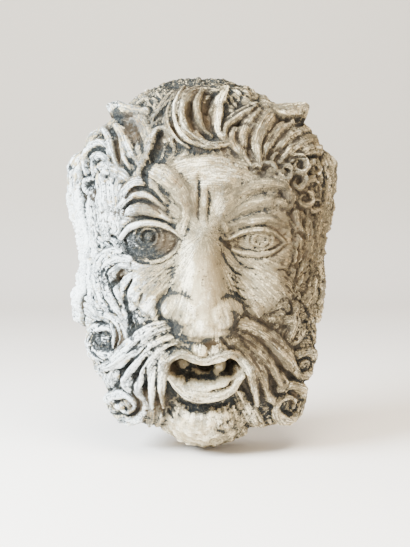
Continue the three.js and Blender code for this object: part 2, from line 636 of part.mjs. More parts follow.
const BEARD_SLOTS = [
  [[[-118, -60], [-108, -60]], 4.5, 4],
  [[[-115, -70], [-113, -79]], 4, 6],
  [[[-103, -74], [-104, -84]], 3.2, 5],
  [[[-121, -80], [-118, -92], [-106, -98]], 3.4, 5],
  [[[-121, -102], [-116, -116]], 2.2, 3],
  [[[-112, -106], [-109, -116], [-103, -124]], 3.2, 5],
  [[[-91, -58], [-88, -70], [-92, -84]], 1.8, 3],
  [[[-76, -128], [-68, -144], [-76, -158], [-90, -162], [-101, -159], [-102, -148]], 2.2, 4],
  [[[-88, -150], [-84, -156]], 2.4, 3],
  [[[-50, -126], [-46, -142], [-44, -156]], 4, 4],
  [[[-40, -150], [-34, -158]], 2.4, 3],
  [[[62, -73], [73, -75]], 4, 5],
  [[[54, -82], [54, -87]], 4, 4],
  [[[94, -74], [97, -77]], 3, 4],
  [[[96, -98], [99, -112]], 5, 5],
  [[[54, -104], [57, -120]], 3, 4],
  [[[70, -126], [75, -136]], 4, 4],
  [[[85, -156], [94, -161], [100, -158]], 2.6, 4],
  [[[30, -126], [38, -126], [44, -132]], 3, 3],
]

const MOUSTACHE = [
  [[[-30, -80], [-41, -92], [-46, -108], [-47, -126], [-45, -146]], 7, 21, STRAND],
  [[[-26, -76], [-41, -86], [-51, -102], [-56, -122], [-57, -146]], 8, 20, STRAND],
  [[[-24, -71], [-43, -79], [-56, -94], [-66, -112], [-72, -130]], 8, 19, STRAND],
  [[[-22, -66], [-44, -71], [-62, -84], [-76, -102], [-86, -118]], 10, 16, STRAND],
  [[[-18, -59], [-44, -60], [-64, -71], [-82, -87], [-98, -101], [-114, -110]], 12, 14, STRAND],
  [[[20, -78], [35, -88], [45, -102], [50, -122], [54, -144]], 9, 20, STRAND],
  [[[16, -72], [33, -80], [48, -96], [59, -116], [67, -138]], 10, 19, STRAND],
  [[[14, -66], [36, -71], [54, -86], [69, -104], [80, -126]], 11, 15, STRAND],
  [[[10, -58], [34, -58], [56, -69], [75, -86], [91, -104], [104, -122]], 13, 13, STRAND],
  [[[2, -60], [9, -71], [20, -81], [34, -91]], 4.5, 19, { floor: 0, ends: [0.6, 0.5] }],
]
const MOUSTACHE_SLOTS = [
  [[[-67, -73], [-73, -80], [-80, -86]], 2.4, 4],
  [[[-60, -78], [-72, -92], [-88, -107]], 3, 5],
  [[[-60, -90], [-67, -102], [-71, -112]], 2.6, 5],
  [[[-61, -100], [-63, -114], [-63, -130]], 3, 6],
  [[[-50, -96], [-52, -112], [-51, -122]], 2.2, 4],
  [[[12, -66], [18, -75], [28, -82]], 1.8, 3],
  [[[24, -62], [40, -72], [52, -84]], 1.6, 2.4],
  [[[44, -86], [54, -104]], 2, 3],
  [[[58, -80], [72, -96], [84, -108]], 2, 3],
]

function carveChin(relief) {
  for (let i = 0; i < 7; i += 1) {
    const x = -40 + (80 * i) / 6
    const path = [[x * 0.6, -150], [x * 0.85, -168], [x, -184], [x, -197, 34]]
    relief.lock(path, 9, 4, { ends: [0.8, 0.9], rise: [0.7, 0.3], moat: 0, floor: 0 })
  }
}

const HORN_SLOTS = [
  [[[-102, 172], [-90, 168], [-76, 169]], 3.6, 1],
  [[[-98, 162], [-86, 159], [-74, 160]], 2.2, 2.5],
  [[[91, 169], [94, 167]], 3.6, 3],
  [[[98, 159], [104, 157]], 2.4, 3],
]

function carveHorns(relief) {
  const left = [[-64, 164], [-78, 163, 66], [-90, 163, 50], [-99, 167, 38], [-106, 175, 28]]
  const right = [[66, 170], [84, 168, 70], [96, 165, 54], [104, 162, 40]]
  const horn = { floor: 0, moat: 1 }
  relief.lock(left, 7.5, 16, { ...horn, power: 0.8, ends: [1, 0.22], rise: [0.35, 0.9] })
  relief.lock(right, 11, 17, { ...horn, power: 0.6, ends: [1, 0.8], rise: [0.45, 1] })
  relief.bump(104, 165, 8, 9, 5, { power: 0.7 })
  cutSlots(relief, HORN_SLOTS)
}

function carveLocks(relief, locks, share) {
  for (const [path, width, height, options] of locks) relief.lock(path, width, height * share, options)
}

function carveAll(relief) {
  carveAnatomy(relief)
  carveEars(relief)
  carveNose(relief)
  carveLeftEye(relief)
  carveRightEye(relief)
  carveFrown(relief)
  carveMouth(relief)
  carveCrown(relief)
  carveLocks(relief, LEFT_HAIR, LOCK_RELIEF)
  relief.bump(-92, -2, 7, 9, -3)
  cutSlots(relief, LEFT_SLOTS)
  carveLocks(relief, FORELOCK, LOCK_RELIEF)
  cutSlots(relief, FORELOCK_SLOTS)
  carveLocks(relief, RIGHT_HAIR, LOCK_RELIEF)
  cutSlots(relief, RIGHT_SLOTS)
  carveChin(relief)
  carveLocks(relief, BEARD, LOCK_RELIEF)
  relief.bump(-94, -151, 7, 7, 4)
  relief.bump(87, -146, 8, 9, 3)
  cutSlots(relief, BEARD_SLOTS)
  carveLocks(relief, MOUSTACHE, MOUSTACHE_RELIEF)
  cutSlots(relief, MOUSTACHE_SLOTS)
  carveHorns(relief)
}

// A least-first queue of edges waiting to be collapsed
class EdgeQueue {
  constructor() {
    this.items = []
  }

  push(item) {
    const { items } = this
    items.push(item)
    let i = items.length - 1
    while (i > 0) {
      const parent = (i - 1) >> 1
      if (items[parent].cost <= items[i].cost) break
      const held = items[parent]
      items[parent] = items[i]
      items[i] = held
      i = parent
    }
  }

  pop() {
    const { items } = this
    const top = items[0]
    const last = items.pop()
    if (items.length === 0) return top
    items[0] = last
    let i = 0
    for (;;) {
      let least = i
      for (const child of [2 * i + 1, 2 * i + 2]) {
        if (child < items.length && items[child].cost < items[least].cost) least = child
      }
      if (least === i) return top
      const held = items[least]
      items[least] = items[i]
      items[i] = held
      i = least
    }
  }
}

// The fine net is thinned by collapsing, again and again, the edge whose loss moves the surface least
class SurfaceThinner {
  constructor(positions, faces, onRim) {
    this.positions = positions
    this.faces = faces
    this.onRim = onRim
    this.faceAlive = faces.map(() => true)
    this.alive = faces.length
    this.facesOf = positions.map(() => [])
    this.quadrics = positions.map(() => new Float64Array(10))
    this.stamps = new Int32Array(positions.length)
    this.queue = new EdgeQueue()
    faces.forEach((face, f) => {
      for (const v of face) this.facesOf[v].push(f)
    })
    this.gatherPlanes()
  }

  normalOf(a, b, c) {
    return b.clone().sub(a).cross(c.clone().sub(a))
  }

  addPlane(v, normal, through, weight) {
    const w = -normal.dot(through)
    const p = [normal.x, normal.y, normal.z, w]
    let k = 0
    for (let i = 0; i < 4; i += 1) {
      for (let j = i; j < 4; j += 1) {
        this.quadrics[v][k] += weight * p[i] * p[j]
        k += 1
      }
    }
  }

  gatherPlanes() {
    const sides = new Set()
    for (const face of this.faces) {
      const [a, b, c] = face.map((v) => this.positions[v])
      const normal = this.normalOf(a, b, c)
      const area = normal.length() / 2
      if (area > 0) normal.normalize()
      for (const v of face) this.addPlane(v, normal, a, area)
      for (let k = 0; k < 3; k += 1) {
        const p = face[k]
        const q = face[(k + 1) % 3]
        if (this.onRim[p] && this.onRim[q]) {
          const edge = this.positions[q].clone().sub(this.positions[p])
          const wall = new THREE.Vector3(edge.y, -edge.x, 0).normalize()
          this.addPlane(p, wall, this.positions[p], RIM_WEIGHT * edge.length())
          this.addPlane(q, wall, this.positions[p], RIM_WEIGHT * edge.length())
        }
        sides.add(p < q ? p * this.positions.length + q : q * this.positions.length + p)
      }
    }
    for (const key of sides) {
      this.propose(Math.floor(key / this.positions.length), key % this.positions.length)
    }
  }

  costAt(q, v) {
    const { x, y, z } = v
    return q[0] * x * x + 2 * q[1] * x * y + 2 * q[2] * x * z + 2 * q[3] * x
      + q[4] * y * y + 2 * q[5] * y * z + 2 * q[6] * y
      + q[7] * z * z + 2 * q[8] * z + q[9]
  }

  // Best place for the merged point: the least-moved one, kept on the rim where an end is on the rim
  mergedPoint(a, b, q) {
    const pa = this.positions[a]
    const pb = this.positions[b]
    if (this.onRim[a] !== this.onRim[b]) return (this.onRim[a] ? pa : pb).clone()
    const middle = pa.clone().add(pb).multiplyScalar(0.5)
    if (this.onRim[a]) {
      const choices = [pa, pb, middle].map((p) => ({ p, cost: this.costAt(q, p) }))
      choices.sort((s, t) => s.cost - t.cost)
      return choices[0].p.clone()
    }
    const m = new THREE.Matrix3().set(q[0], q[1], q[2], q[1], q[4], q[5], q[2], q[5], q[7])
    const scale = q[0] + q[4] + q[7]
    if (Math.abs(m.determinant()) < 1e-5 * scale ** 3) return middle
    const best = new THREE.Vector3(-q[3], -q[6], -q[8]).applyMatrix3(m.invert())
    return best.distanceTo(middle) < 1.5 * pa.distanceTo(pb) && best.z > 0.2 ? best : middle
  }

  propose(a, b) {
    if (this.onRim[a] && this.onRim[b] && !this.rimEdge(a, b)) return
    const q = this.quadrics[a].map((value, i) => value + this.quadrics[b][i])
    const point = this.mergedPoint(a, b, q)
    const length = this.positions[a].distanceToSquared(this.positions[b])
    const cost = Math.max(this.costAt(q, point), 0) + SLIVER_WEIGHT * length
    this.queue.push({ cost, a, b, point, stampA: this.stamps[a], stampB: this.stamps[b] })
  }

  rimEdge(a, b) {
    return this.facesOf[a].filter((f) => this.faces[f].includes(b)).length === 1
  }

  neighbours(v) {
    const found = new Set()
    for (const f of this.facesOf[v]) {
      for (const w of this.faces[f]) if (w !== v) found.add(w)
    }
    return found
  }

  allowed(a, b, point) {
    const around = this.neighbours(a)
    let shared = 0
    for (const v of this.neighbours(b)) if (around.has(v)) shared += 1
    const between = this.facesOf[a].filter((f) => this.faces[f].includes(b)).length
    if (shared !== between) return false
    for (const [v, other] of [[a, b], [b, a]]) {
      for (const f of this.facesOf[v]) {
        const face = this.faces[f]
        if (face.includes(other)) continue
        const before = this.normalOf(...face.map((w) => this.positions[w]))
        const after = this.normalOf(...face.map((w) => (w === v ? point : this.positions[w])))
        if (after.length() < 0.02) return false
        if (before.normalize().dot(after.normalize()) < FLIP_LIMIT) return false
      }
    }
    return true
  }

  collapse(a, b, point) {
    this.positions[a].copy(point)
    this.onRim[a] = this.onRim[a] || this.onRim[b]
    this.quadrics[b].forEach((value, i) => {
      this.quadrics[a][i] += value
    })
    for (const f of this.facesOf[b]) {
      if (this.faces[f].includes(a)) {
        this.faceAlive[f] = false
        this.alive -= 1
        for (const v of this.faces[f]) {
          if (v !== b) this.facesOf[v] = this.facesOf[v].filter((g) => g !== f)
        }
      } else {
        this.faces[f] = this.faces[f].map((v) => (v === b ? a : v))
        this.facesOf[a].push(f)
      }
    }
    this.facesOf[b] = []
    this.stamps[a] += 1
    this.stamps[b] += 1
    for (const v of this.neighbours(a)) this.propose(a, v)
  }

  thinTo(count) {
    while (this.alive > count && this.queue.items.length > 0) {
      const { a, b, point, stampA, stampB } = this.queue.pop()
      const fresh = this.stamps[a] === stampA && this.stamps[b] === stampB
      if (fresh && this.allowed(a, b, point)) this.collapse(a, b, point)
    }
    return this.faces.filter((_, f) => this.faceAlive[f])
  }
}

// The whole grid as triangles, each square cut along the diagonal that lies nearer the surface
function gridTriangles(relief, positions) {
  const faces = []
  const { size } = relief
  for (let row = 0; row < size - 1; row += 1) {
    for (let column = 0; column < size - 1; column += 1) {
      const a = row * size + column
      const [b, c, d] = [a + 1, a + size + 1, a + size]
      const low = row < size / 2
      const left = column < size / 2
      const straight = positions[a].distanceTo(positions[c])
      const crossed = positions[b].distanceTo(positions[d])
      const corner = (row === 0 || row === size - 2) && (column === 0 || column === size - 2)
      const throughA = corner ? low === left : straight < crossed
      if (throughA) faces.push([a, b, c], [a, c, d])
      else faces.push([a, b, d], [b, c, d])
    }
  }
  return faces
}

// The open rim of a triangle list, in order
function rimLoop(triangles) {
  const next = new Map()
  const seen = new Set()
  for (const [a, b, c] of triangles) {
    for (const [p, q] of [[a, b], [b, c], [c, a]]) seen.add(`${p} ${q}`)
  }
  for (const [a, b, c] of triangles) {
    for (const [p, q] of [[a, b], [b, c], [c, a]]) {
      if (!seen.has(`${q} ${p}`)) next.set(p, q)
    }
  }
  const start = next.keys().next().value
  const loop = [start]
  for (let at = next.get(start); at !== start; at = next.get(at)) loop.push(at)
  return loop
}

// From [x, z, d] to the part's own axes
function toPart(v) {
  return [v.x, -v.z, v.y]
}

function buildBody() {
  const relief = new Relief(GRID)
  carveAll(relief)
  const positions = []
  for (let i = 0; i < relief.count; i += 1) positions.push(relief.place(i, new THREE.Vector3()))
  const onRim = positions.map((p, i) => relief.points[i * 3 + 2] === 0)
  const thinner = new SurfaceThinner(positions, gridTriangles(relief, positions), onRim)
  const front = thinner.thinTo(FRONT_TRIANGLES)
  const used = new Map()
  const vertices = []
  const index = []
  const vertexOf = (k) => {
    if (!used.has(k)) {
      used.set(k, used.size)
      vertices.push(...toPart(positions[k]))
    }
    return used.get(k)
  }
  for (const triangle of front) index.push(...triangle.map(vertexOf))
  const loop = rimLoop(front)
  const outline = loop.map((k) => new THREE.Vector2(positions[k].x, positions[k].y))
  for (const [a, b, c] of THREE.ShapeUtils.triangulateShape(outline, [])) {
    index.push(vertexOf(loop[a]), vertexOf(loop[b]), vertexOf(loop[c]))
  }
  return orientOutwards(vertices, index)
}

// Make every face of the closed body agree with its neighbours and point outwards
function orientOutwards(vertices, index) {
  const faces = []
  for (let i = 0; i < index.length; i += 3) faces.push([index[i], index[i + 1], index[i + 2]])
  const byEdge = new Map()
  faces.forEach((face, f) => {
    for (let k = 0; k < 3; k += 1) {
      const p = face[k]
      const q = face[(k + 1) % 3]
      const key = p < q ? `${p} ${q}` : `${q} ${p}`
      if (!byEdge.has(key)) byEdge.set(key, [])
      byEdge.get(key).push([f, p < q])
    }
  })
  const flipped = new Array(faces.length).fill(undefined)
  flipped[0] = false
  const queue = [0]
  while (queue.length > 0) {
    const f = queue.pop()
    const face = faces[f]
    for (let k = 0; k < 3; k += 1) {
      const p = face[k]
      const q = face[(k + 1) % 3]
      const key = p < q ? `${p} ${q}` : `${q} ${p}`
      const [first, second] = byEdge.get(key)
      const other = first[0] === f ? second : first
      const own = first[0] === f ? first : second
      if (flipped[other[0]] === undefined) {
        flipped[other[0]] = other[1] === own[1] ? !flipped[f] : flipped[f]
        queue.push(other[0])
      }
    }
  }
  const turned = faces.map(([a, b, c], f) => (flipped[f] ? [a, c, b] : [a, b, c]))
  let volume = 0
  const at = (k) => new THREE.Vector3().fromArray(vertices, k * 3)
  for (const [a, b, c] of turned) volume += at(a).dot(at(b).cross(at(c)))
  const outward = volume > 0 ? turned : turned.map(([a, b, c]) => [a, c, b])
  return { vertices, index: outward.flat() }
}

const wasm = await Module()
wasm.setup()

function solidOf(vertices, index) {
  return new wasm.Manifold(new wasm.Mesh({
    numProp: 3,
    vertProperties: Float32Array.from(vertices),
    triVerts: Uint32Array.from(index),
  }))
}

// Straight bore for the water pipe, from the back into the mouth
function pipeBore() {
  const length = DOME_DEPTH
  const radius = PIPE_DIAMETER / 2
  const vertices = []
  const index = []
  for (let i = 0; i < PIPE_SEGMENTS; i += 1) {
    const a = (2 * Math.PI * i) / PIPE_SEGMENTS
    for (const y of [-length * 0.9, length * 0.1]) {
      vertices.push(PIPE_X + radius * Math.cos(a), y, PIPE_Z + radius * Math.sin(a))
    }
  }
  for (let i = 0; i < PIPE_SEGMENTS; i += 1) {
    const a = 2 * i
    const b = 2 * ((i + 1) % PIPE_SEGMENTS)
    index.push(a, b, a + 1, b, b + 1, a + 1)
    if (i > 1) index.push(0, 2 * i, 2 * (i - 1), 1, 2 * (i - 1) + 1, 2 * i + 1)
  }
  const turned = orientOutwards(vertices, index)
  return solidOf(turned.vertices, turned.index)
}

const body = buildBody()
const carved = solidOf(body.vertices, body.index).subtract(pipeBore())
const { vertProperties, triVerts } = carved.getMesh()
const geometry = new THREE.BufferGeometry()
geometry.setAttribute('position', new THREE.BufferAttribute(Float32Array.from(vertProperties), 3))
geometry.setIndex(new THREE.BufferAttribute(Uint32Array.from(triVerts), 1))
geometry.computeVertexNormals()

const stone = new THREE.MeshStandardMaterial({
  color: STONE_COLOUR,
  roughness: STONE_ROUGHNESS,
  metalness: 0,
})
const mask = new THREE.Mesh(geometry, stone)
mask.name = 'mask'

const group = new THREE.Group()
group.name = 'fountain_mask'
group.add(mask)

export default group
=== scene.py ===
"""Dresses the fountain mask: a horned, goat-eared satyr's head in weathered, limewashed cast stone.

The casting is carved on a fine grid wrapped over a smooth dome. All carving sizes are in millimetres,
as [across, up, depth from the back], and become metres when the grid is made a mesh.
"""

from __future__ import annotations

import logging
import math
from dataclasses import dataclass, field
from enum import Enum
from typing import Sequence

import bmesh
import bpy
import numpy as np
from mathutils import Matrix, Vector


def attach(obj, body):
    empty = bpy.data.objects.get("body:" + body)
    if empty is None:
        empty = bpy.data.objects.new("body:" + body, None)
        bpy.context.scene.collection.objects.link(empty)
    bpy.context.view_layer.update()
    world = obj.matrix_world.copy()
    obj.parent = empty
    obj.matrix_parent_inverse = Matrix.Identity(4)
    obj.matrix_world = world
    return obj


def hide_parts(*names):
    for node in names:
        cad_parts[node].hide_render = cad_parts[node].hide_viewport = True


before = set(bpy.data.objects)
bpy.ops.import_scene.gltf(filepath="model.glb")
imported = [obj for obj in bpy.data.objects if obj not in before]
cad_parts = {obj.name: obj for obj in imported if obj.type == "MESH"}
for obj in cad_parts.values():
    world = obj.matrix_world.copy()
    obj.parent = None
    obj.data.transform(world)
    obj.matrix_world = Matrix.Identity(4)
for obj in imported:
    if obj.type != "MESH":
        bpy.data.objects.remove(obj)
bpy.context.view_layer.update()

LOG = logging.getLogger("fountain_mask")
MILLIMETRE = 0.001
PHOTO_WIDTH = 410
PHOTO_HEIGHT = 547

Point = Sequence[float]
Path = Sequence[Point]
Pair = tuple[float, float]


class Side(Enum):
    """The viewer's side of the head, as the sign of X."""

    LEFT = -1
    RIGHT = 1


@dataclass(frozen=True)
class Lie:
    """How a lock lies on the head.

    ends and rise are the width and height at the first and last end, as shares of the middle's. floor is
    the height of its edges, power how square its section is, moat the depth of the groove beside it,
    pitch the distance between the lines combed into it, 0 for none, and groove how deep they are.
    """

    ends: Pair = (0.7, 0.3)
    rise: Pair = (0.7, 0.4)
    floor: float = -2.5
    power: float = 0.7
    moat: float = 0.6
    pitch: float = 4.4
    groove: float = 2.4


@dataclass(frozen=True)
class Lock:
    """One lock of hair: its path, half width, height and lie."""

    path: Path
    half_width: float
    height: float
    lie: Lie = Lie()


@dataclass(frozen=True)
class Slot:
    """A slot between locks: its path, half width, depth, and how dark it is painted, with soiling and painted shade in
    it.
    """

    path: Path
    width: float
    depth: float
    soot_and_shade: float = 1.0


def ease(start: float, end: float, value: np.ndarray | float) -> np.ndarray:
    """Goes smoothly from 0 at start to 1 at end.

    Args:
        start: The value that gives 0.
        end: The value that gives 1.
        value: The values to ease.

    Returns:
        The eased values, from 0 to 1.
    """
    t = np.clip((value - start) / (end - start), 0, 1)
    return t * t * (3 - 2 * t)


def taper(place: np.ndarray, ends: Pair) -> np.ndarray:
    """The share of full size along a stroke, from ends[0] at its start to ends[1] at its end."""
    opening = ends[0] + (1 - ends[0]) * ease(0, 0.35, place)
    return opening * (ends[1] + (1 - ends[1]) * (1 - ease(0.5, 1, place)))


def coil(x: float, z: float, outer: float, inner: float, start: float, turns: float) -> list[Pair]:
    """The path of a curl that winds inwards.

    Args:
        x: Across, of its centre.
        z: Up, of its centre.
        outer: Radius where it starts.
        inner: Radius where it ends.
        start: The angle of its start, in degrees.
        turns: Turns wound, counted anticlockwise.

    Returns:
        The points of the path.
    """
    count = max(6, int(abs(turns) * 10))
    path = []
    for step in range(count + 1):
        t = step / count
        angle = math.radians(start) + 2 * math.pi * turns * t
        radius = outer + (inner - outer) * t
        path.append((x + radius * math.cos(angle), z + radius * math.sin(angle)))
    return path


def ring(x: float, z: float, radius: float, squash: float) -> list[Pair]:
    """A closed ring of points round a centre, flattened by squash."""
    angles = np.linspace(0, 2 * math.pi, 19)
    return [(x + radius * math.cos(a), z + radius * squash * math.sin(a)) for a in angles]


def grain(across: np.ndarray, along: np.ndarray, seed: int) -> np.ndarray:
    """Smooth random values over two coordinates, one blotch to a unit of each.

    Args:
        across: The first coordinate.
        along: The second coordinate.
        seed: Seed of the pattern.

    Returns:
        Values from 0 to 1.
    """
    size = 64
    table = np.random.default_rng(seed).random((size, size))
    column, row = np.floor(across).astype(int), np.floor(along).astype(int)
    a, b = ease(0, 1, across - column), ease(0, 1, along - row)
    near, far = row % size, (row + 1) % size
    left, right = column % size, (column + 1) % size
    low = table[near, left] * (1 - a) + table[near, right] * a
    high = table[far, left] * (1 - a) + table[far, right] * a
    return low * (1 - b) + high * b


def strands(across: np.ndarray, along: np.ndarray, seed: int) -> np.ndarray:
    """Lines that wander along a lock between its strands, from 0 to 1 at their middle."""
    coarse = 1 - np.abs(2 * grain(across, along / 9, seed) - 1)
    fine = 1 - np.abs(2 * grain(across * 2, along / 5, seed + 1) - 1)
    return 0.7 * ease(0.55, 1, coarse) + 0.4 * ease(0.6, 1, fine)


@dataclass
class Dome:
    """The smooth form under the carving, with the outline of the head.

    Each rim gives the radius by angle above the horizontal, on its own side of the head.
    """

    depth: float = 108.0
    side_exponent: float = 2.4
    top_exponent_gain: float = 1.2
    left_rim: Path = (
        (-90, 202), (-84, 199), (-79, 190), (-74, 187), (-66, 192), (-61, 192), (-56, 186), (-52, 174),
        (-46, 170), (-37, 162), (-29, 149), (0, 131), (15, 137), (30, 155), (38, 170), (45, 184),
        (52, 190), (60, 191), (67, 195), (73, 200), (80, 203), (90, 204),
    )
    right_rim: Path = (
        (-90, 202), (-84, 201), (-79, 196), (-74, 190), (-68, 195), (-62, 202), (-57, 194), (-52, 181),
        (-48, 173), (-43, 168), (-37, 155), (-29, 144), (0, 131), (15, 137), (30, 155), (38, 174),
        (45, 187), (52, 193), (60, 193), (67, 194), (73, 198), (80, 202), (90, 204),
    )
    rim_blur_degrees: float = 2.2
    tables: dict[Side, tuple[np.ndarray, np.ndarray]] = field(init=False)

    def __post_init__(self) -> None:
        """Blurs the rims' radii once into fine tables."""
        per_degree = 4
        degrees = np.linspace(-90, 90, 180 * per_degree + 1)
        reach = 10 * per_degree
        weights = np.exp(-0.5 * (np.arange(-reach, reach + 1) / (self.rim_blur_degrees * per_degree)) ** 2)
        self.tables = {}
        for side, rim in ((Side.LEFT, self.left_rim), (Side.RIGHT, self.right_rim)):
            raw = np.interp(degrees, [a for a, _ in rim], [r for _, r in rim])
            padded = np.pad(raw, reach, mode="reflect")
            self.tables[side] = (degrees, np.convolve(padded, weights / weights.sum(), mode="valid"))

    def radius(self, angle: np.ndarray | float) -> np.ndarray:
        """The rim's radius at an angle in radians."""
        degrees = np.degrees(np.arctan2(np.sin(angle), np.abs(np.cos(angle))))
        left, right = (np.interp(degrees, *self.tables[side]) for side in Side)
        return np.where(np.cos(angle) < 0, left, right)

    def exponent(self, angle: np.ndarray | float) -> np.ndarray:
        """How square the section is at an angle."""
        return self.side_exponent + self.top_exponent_gain * np.sin(angle) ** 2

    def point(self, rho: np.ndarray, angle: np.ndarray) -> np.ndarray:
        """Points of the dome.

        Args:
            rho: 0 at the middle of the face, 1 at the rim.
            angle: Angle above the horizontal, in radians.

        Returns:
            An array of [across, up, depth].
        """
        n = self.exponent(angle)
        s = np.sin(rho * math.pi / 2)
        c = np.clip(np.cos(rho * math.pi / 2), 0, 1)
        k = (s**n + c**n) ** (-1 / n)
        r = s * k * self.radius(angle)
        return np.stack([r * np.cos(angle), r * np.sin(angle), c * k * self.depth], -1)

    def depth_at(self, x: float, z: float) -> float:
        """The depth of the dome over a point of the back."""
        angle = math.atan2(z, x)
        n = float(self.exponent(angle))
        s = min(math.hypot(x, z) / float(self.radius(angle)), 1)
        return self.depth * (1 - s**n) ** (1 / n)

    def lay(self, point: Point) -> tuple[float, float, float]:
        """A point with its depth: as given, or the dome's own, kept just inside the rim."""
        if len(point) == 3:
            return tuple(point)
        x, z = point
        r = math.hypot(x, z)
        limit = 0.985 * float(self.radius(math.atan2(z, x)))
        k = limit / r if r > limit else 1.0
        return (x * k, z * k, self.depth_at(x * k, z * k))

    def samples(self, path: Path, step: float = 1.0) -> np.ndarray:
        """A smooth curve through the points of a path, laid on the dome.

        Args:
            path: The points of the stroke.
            step: About how far apart the samples are.

        Returns:
            The samples, one row each.
        """
        anchors = np.array([self.lay(p) for p in path])
        anchors = np.vstack([2 * anchors[0] - anchors[1], anchors, 2 * anchors[-1] - anchors[-2]])
        parts = []
        for i in range(1, len(anchors) - 2):
            a, b, c, d = anchors[i - 1 : i + 3]
            count = max(2, int(np.linalg.norm(c - b) / step))
            t = np.linspace(0, 1, count, endpoint=False)[:, None]
            cubic = -a + 3 * b - 3 * c + d
            square = 2 * a - 5 * b + 4 * c - d
            parts.append(0.5 * (2 * b + (c - a) * t + square * t**2 + cubic * t**3))
        parts.append(anchors[-2][None])
        return np.vstack(parts)


class CarvedSurface:
    """The grid over the dome, with the height of the carving at each of its points."""

    def __init__(self, dome: Dome, u: np.ndarray, v: np.ndarray) -> None:
        """Wraps a square grid over the dome.

        Args:
            dome: The smooth form.
            u: Across on the square, -1 to 1, one row of the grid after another.
            v: Up on the square, -1 to 1.
        """
        self.dome = dome
        self.shape = u.shape
        a = u * np.sqrt(1 - v * v / 2)
        b = v * np.sqrt(1 - u * u / 2)
        self.edge = (np.maximum(np.abs(u), np.abs(v)) > 1 - 1e-6).ravel()
        rho = np.clip(np.hypot(a, b), 0, 1)
        grid = dome.point(rho, np.arctan2(b, a))
        across = np.gradient(grid, axis=1)
        along = np.gradient(grid, axis=0)
        normals = np.cross(across, along)
        normals /= np.linalg.norm(normals, axis=-1, keepdims=True) + 1e-9
        self.points = grid.reshape(-1, 3).astype(np.float32)
        self.normals = normals.reshape(-1, 3).astype(np.float32)
        self.points[self.edge, 2] = 0
        self.normals[self.edge, 2] = 0
        self.x, self.z, self.depth = self.points.T
        self.height = np.zeros(len(self.points), np.float32)
        # Darkness to paint: soiling and painted shade in slots.
        self.soot_and_shade = np.zeros(len(self.points), np.float32)
        self.flow = np.zeros((len(self.points), 3), np.float32)
        self.laid = 0

    def comb(self, chosen: np.ndarray, across: np.ndarray, along: np.ndarray) -> None:
        """Notes, in millimetres, how the strands run at some points: across them and along them."""
        self.laid += 1
        apart = 7.3
        self.flow[chosen] = np.stack([across, along, np.full(len(across), self.laid * apart)], -1)

    def blurred(self, values: np.ndarray, sigma: float) -> np.ndarray:
        """The values smoothed over the grid.

        Args:
            values: One value a point.
            sigma: Width of the blur, in cells.

        Returns:
            The smoothed values.
        """
        reach = max(1, int(3 * sigma))
        weights = np.exp(-0.5 * (np.arange(-reach, reach + 1) / sigma) ** 2)
        weights /= weights.sum()
        grid = values.reshape(self.shape)
        for axis in (0, 1):
            pad = [(0, 0), (0, 0)]
            pad[axis] = (reach, reach)
            padded = np.pad(grid, pad, mode="edge")
            size = grid.shape[axis]
            slices = (np.take(padded, range(k, k + size), axis) * w for k, w in enumerate(weights))
            grid = sum(slices)
        return grid.ravel()

    def noise(self, seed: int, sigma: float) -> np.ndarray:
        """Soft random values of about unit size.

        Args:
            seed: Seed of the pattern.
            sigma: Size of its blotches, in cells.

        Returns:
            One value a point.
        """
        values = self.blurred(np.random.default_rng(seed).standard_normal(len(self.height)), sigma)
        return values / values.std()

    def bump(
        self, x: float, z: float, rx: float, rz: float, height: float, turn: float = 0, power: float = 1.5
    ) -> None:
        """Adds a soft elliptical swelling, or a hollow where the height is negative.

        Args:
            x: Across, of its middle.
            z: Up, of its middle.
            rx: Radius across.
            rz: Radius up.
            height: Height at its middle.
            turn: Turn anticlockwise, in degrees.
            power: 1 for a plain dome, more for softer edges, less for steeper ones.
        """
        c, s = math.cos(math.radians(turn)), math.sin(math.radians(turn))
        dx, dz = self.x - x, self.z - z
        inside = 1 - ((dx * c + dz * s) / rx) ** 2 - ((-dx * s + dz * c) / rz) ** 2
        self.height += np.where(self.depth > 20, height * np.clip(inside, 0, 1) ** power, 0)

    def near(self, path: Path, reach: float) -> tuple[np.ndarray, np.ndarray, np.ndarray, np.ndarray]:
        """The grid points near a stroke.

        Args:
            path: The points of the stroke.
            reach: How far from it to look.

        Returns:
            The points' indices, their signed distance across, the place along from 0 to 1, and the distance.
        """
        samples = self.dome.samples(path).astype(np.float32)
        low, high = samples.min(0) - reach, samples.max(0) + reach
        chosen = np.where(((self.points >= low) & (self.points <= high)).all(1))[0]
        tangents = np.gradient(samples, axis=0)
        lengths = np.linalg.norm(tangents, axis=1, keepdims=True) + 1e-9
        tangents = tangents / lengths
        last = len(samples) - 1
        across, place, distance = (np.zeros(len(chosen), np.float32) for _ in range(3))
        chunk = 20000
        for start in range(0, len(chosen), chunk):
            index = chosen[start : start + chunk]
            points, normals = self.points[index], self.normals[index]
            offsets = points[:, None] - samples[None]
            lift = np.einsum("mkc,mc->mk", offsets, normals)
            nearest = ((offsets * offsets).sum(-1) - 0.75 * lift * lift).argmin(1)
            offset = offsets[np.arange(len(index)), nearest]
            offset = offset - (offset * normals).sum(1, keepdims=True) * normals
            tangent = tangents[nearest]
            run = (offset * tangent).sum(1)
            sideways = np.cross(tangent, normals)
            sideways /= np.linalg.norm(sideways, axis=1, keepdims=True) + 1e-9
            signed = (offset * sideways).sum(1)
            past = (nearest == 0) & (run < 0) | (nearest == last) & (run > 0)
            full = np.where(past, np.linalg.norm(offset, axis=1), np.abs(signed))
            part = slice(start, start + chunk)
            across[part] = np.where(past, np.sign(signed) * full, signed)
            distance[part] = full
            step = np.clip(run / lengths[nearest, 0], -0.5, 0.5)
            place[part] = np.clip((nearest + step) / last, 0, 1)
        return chosen, across, place, distance

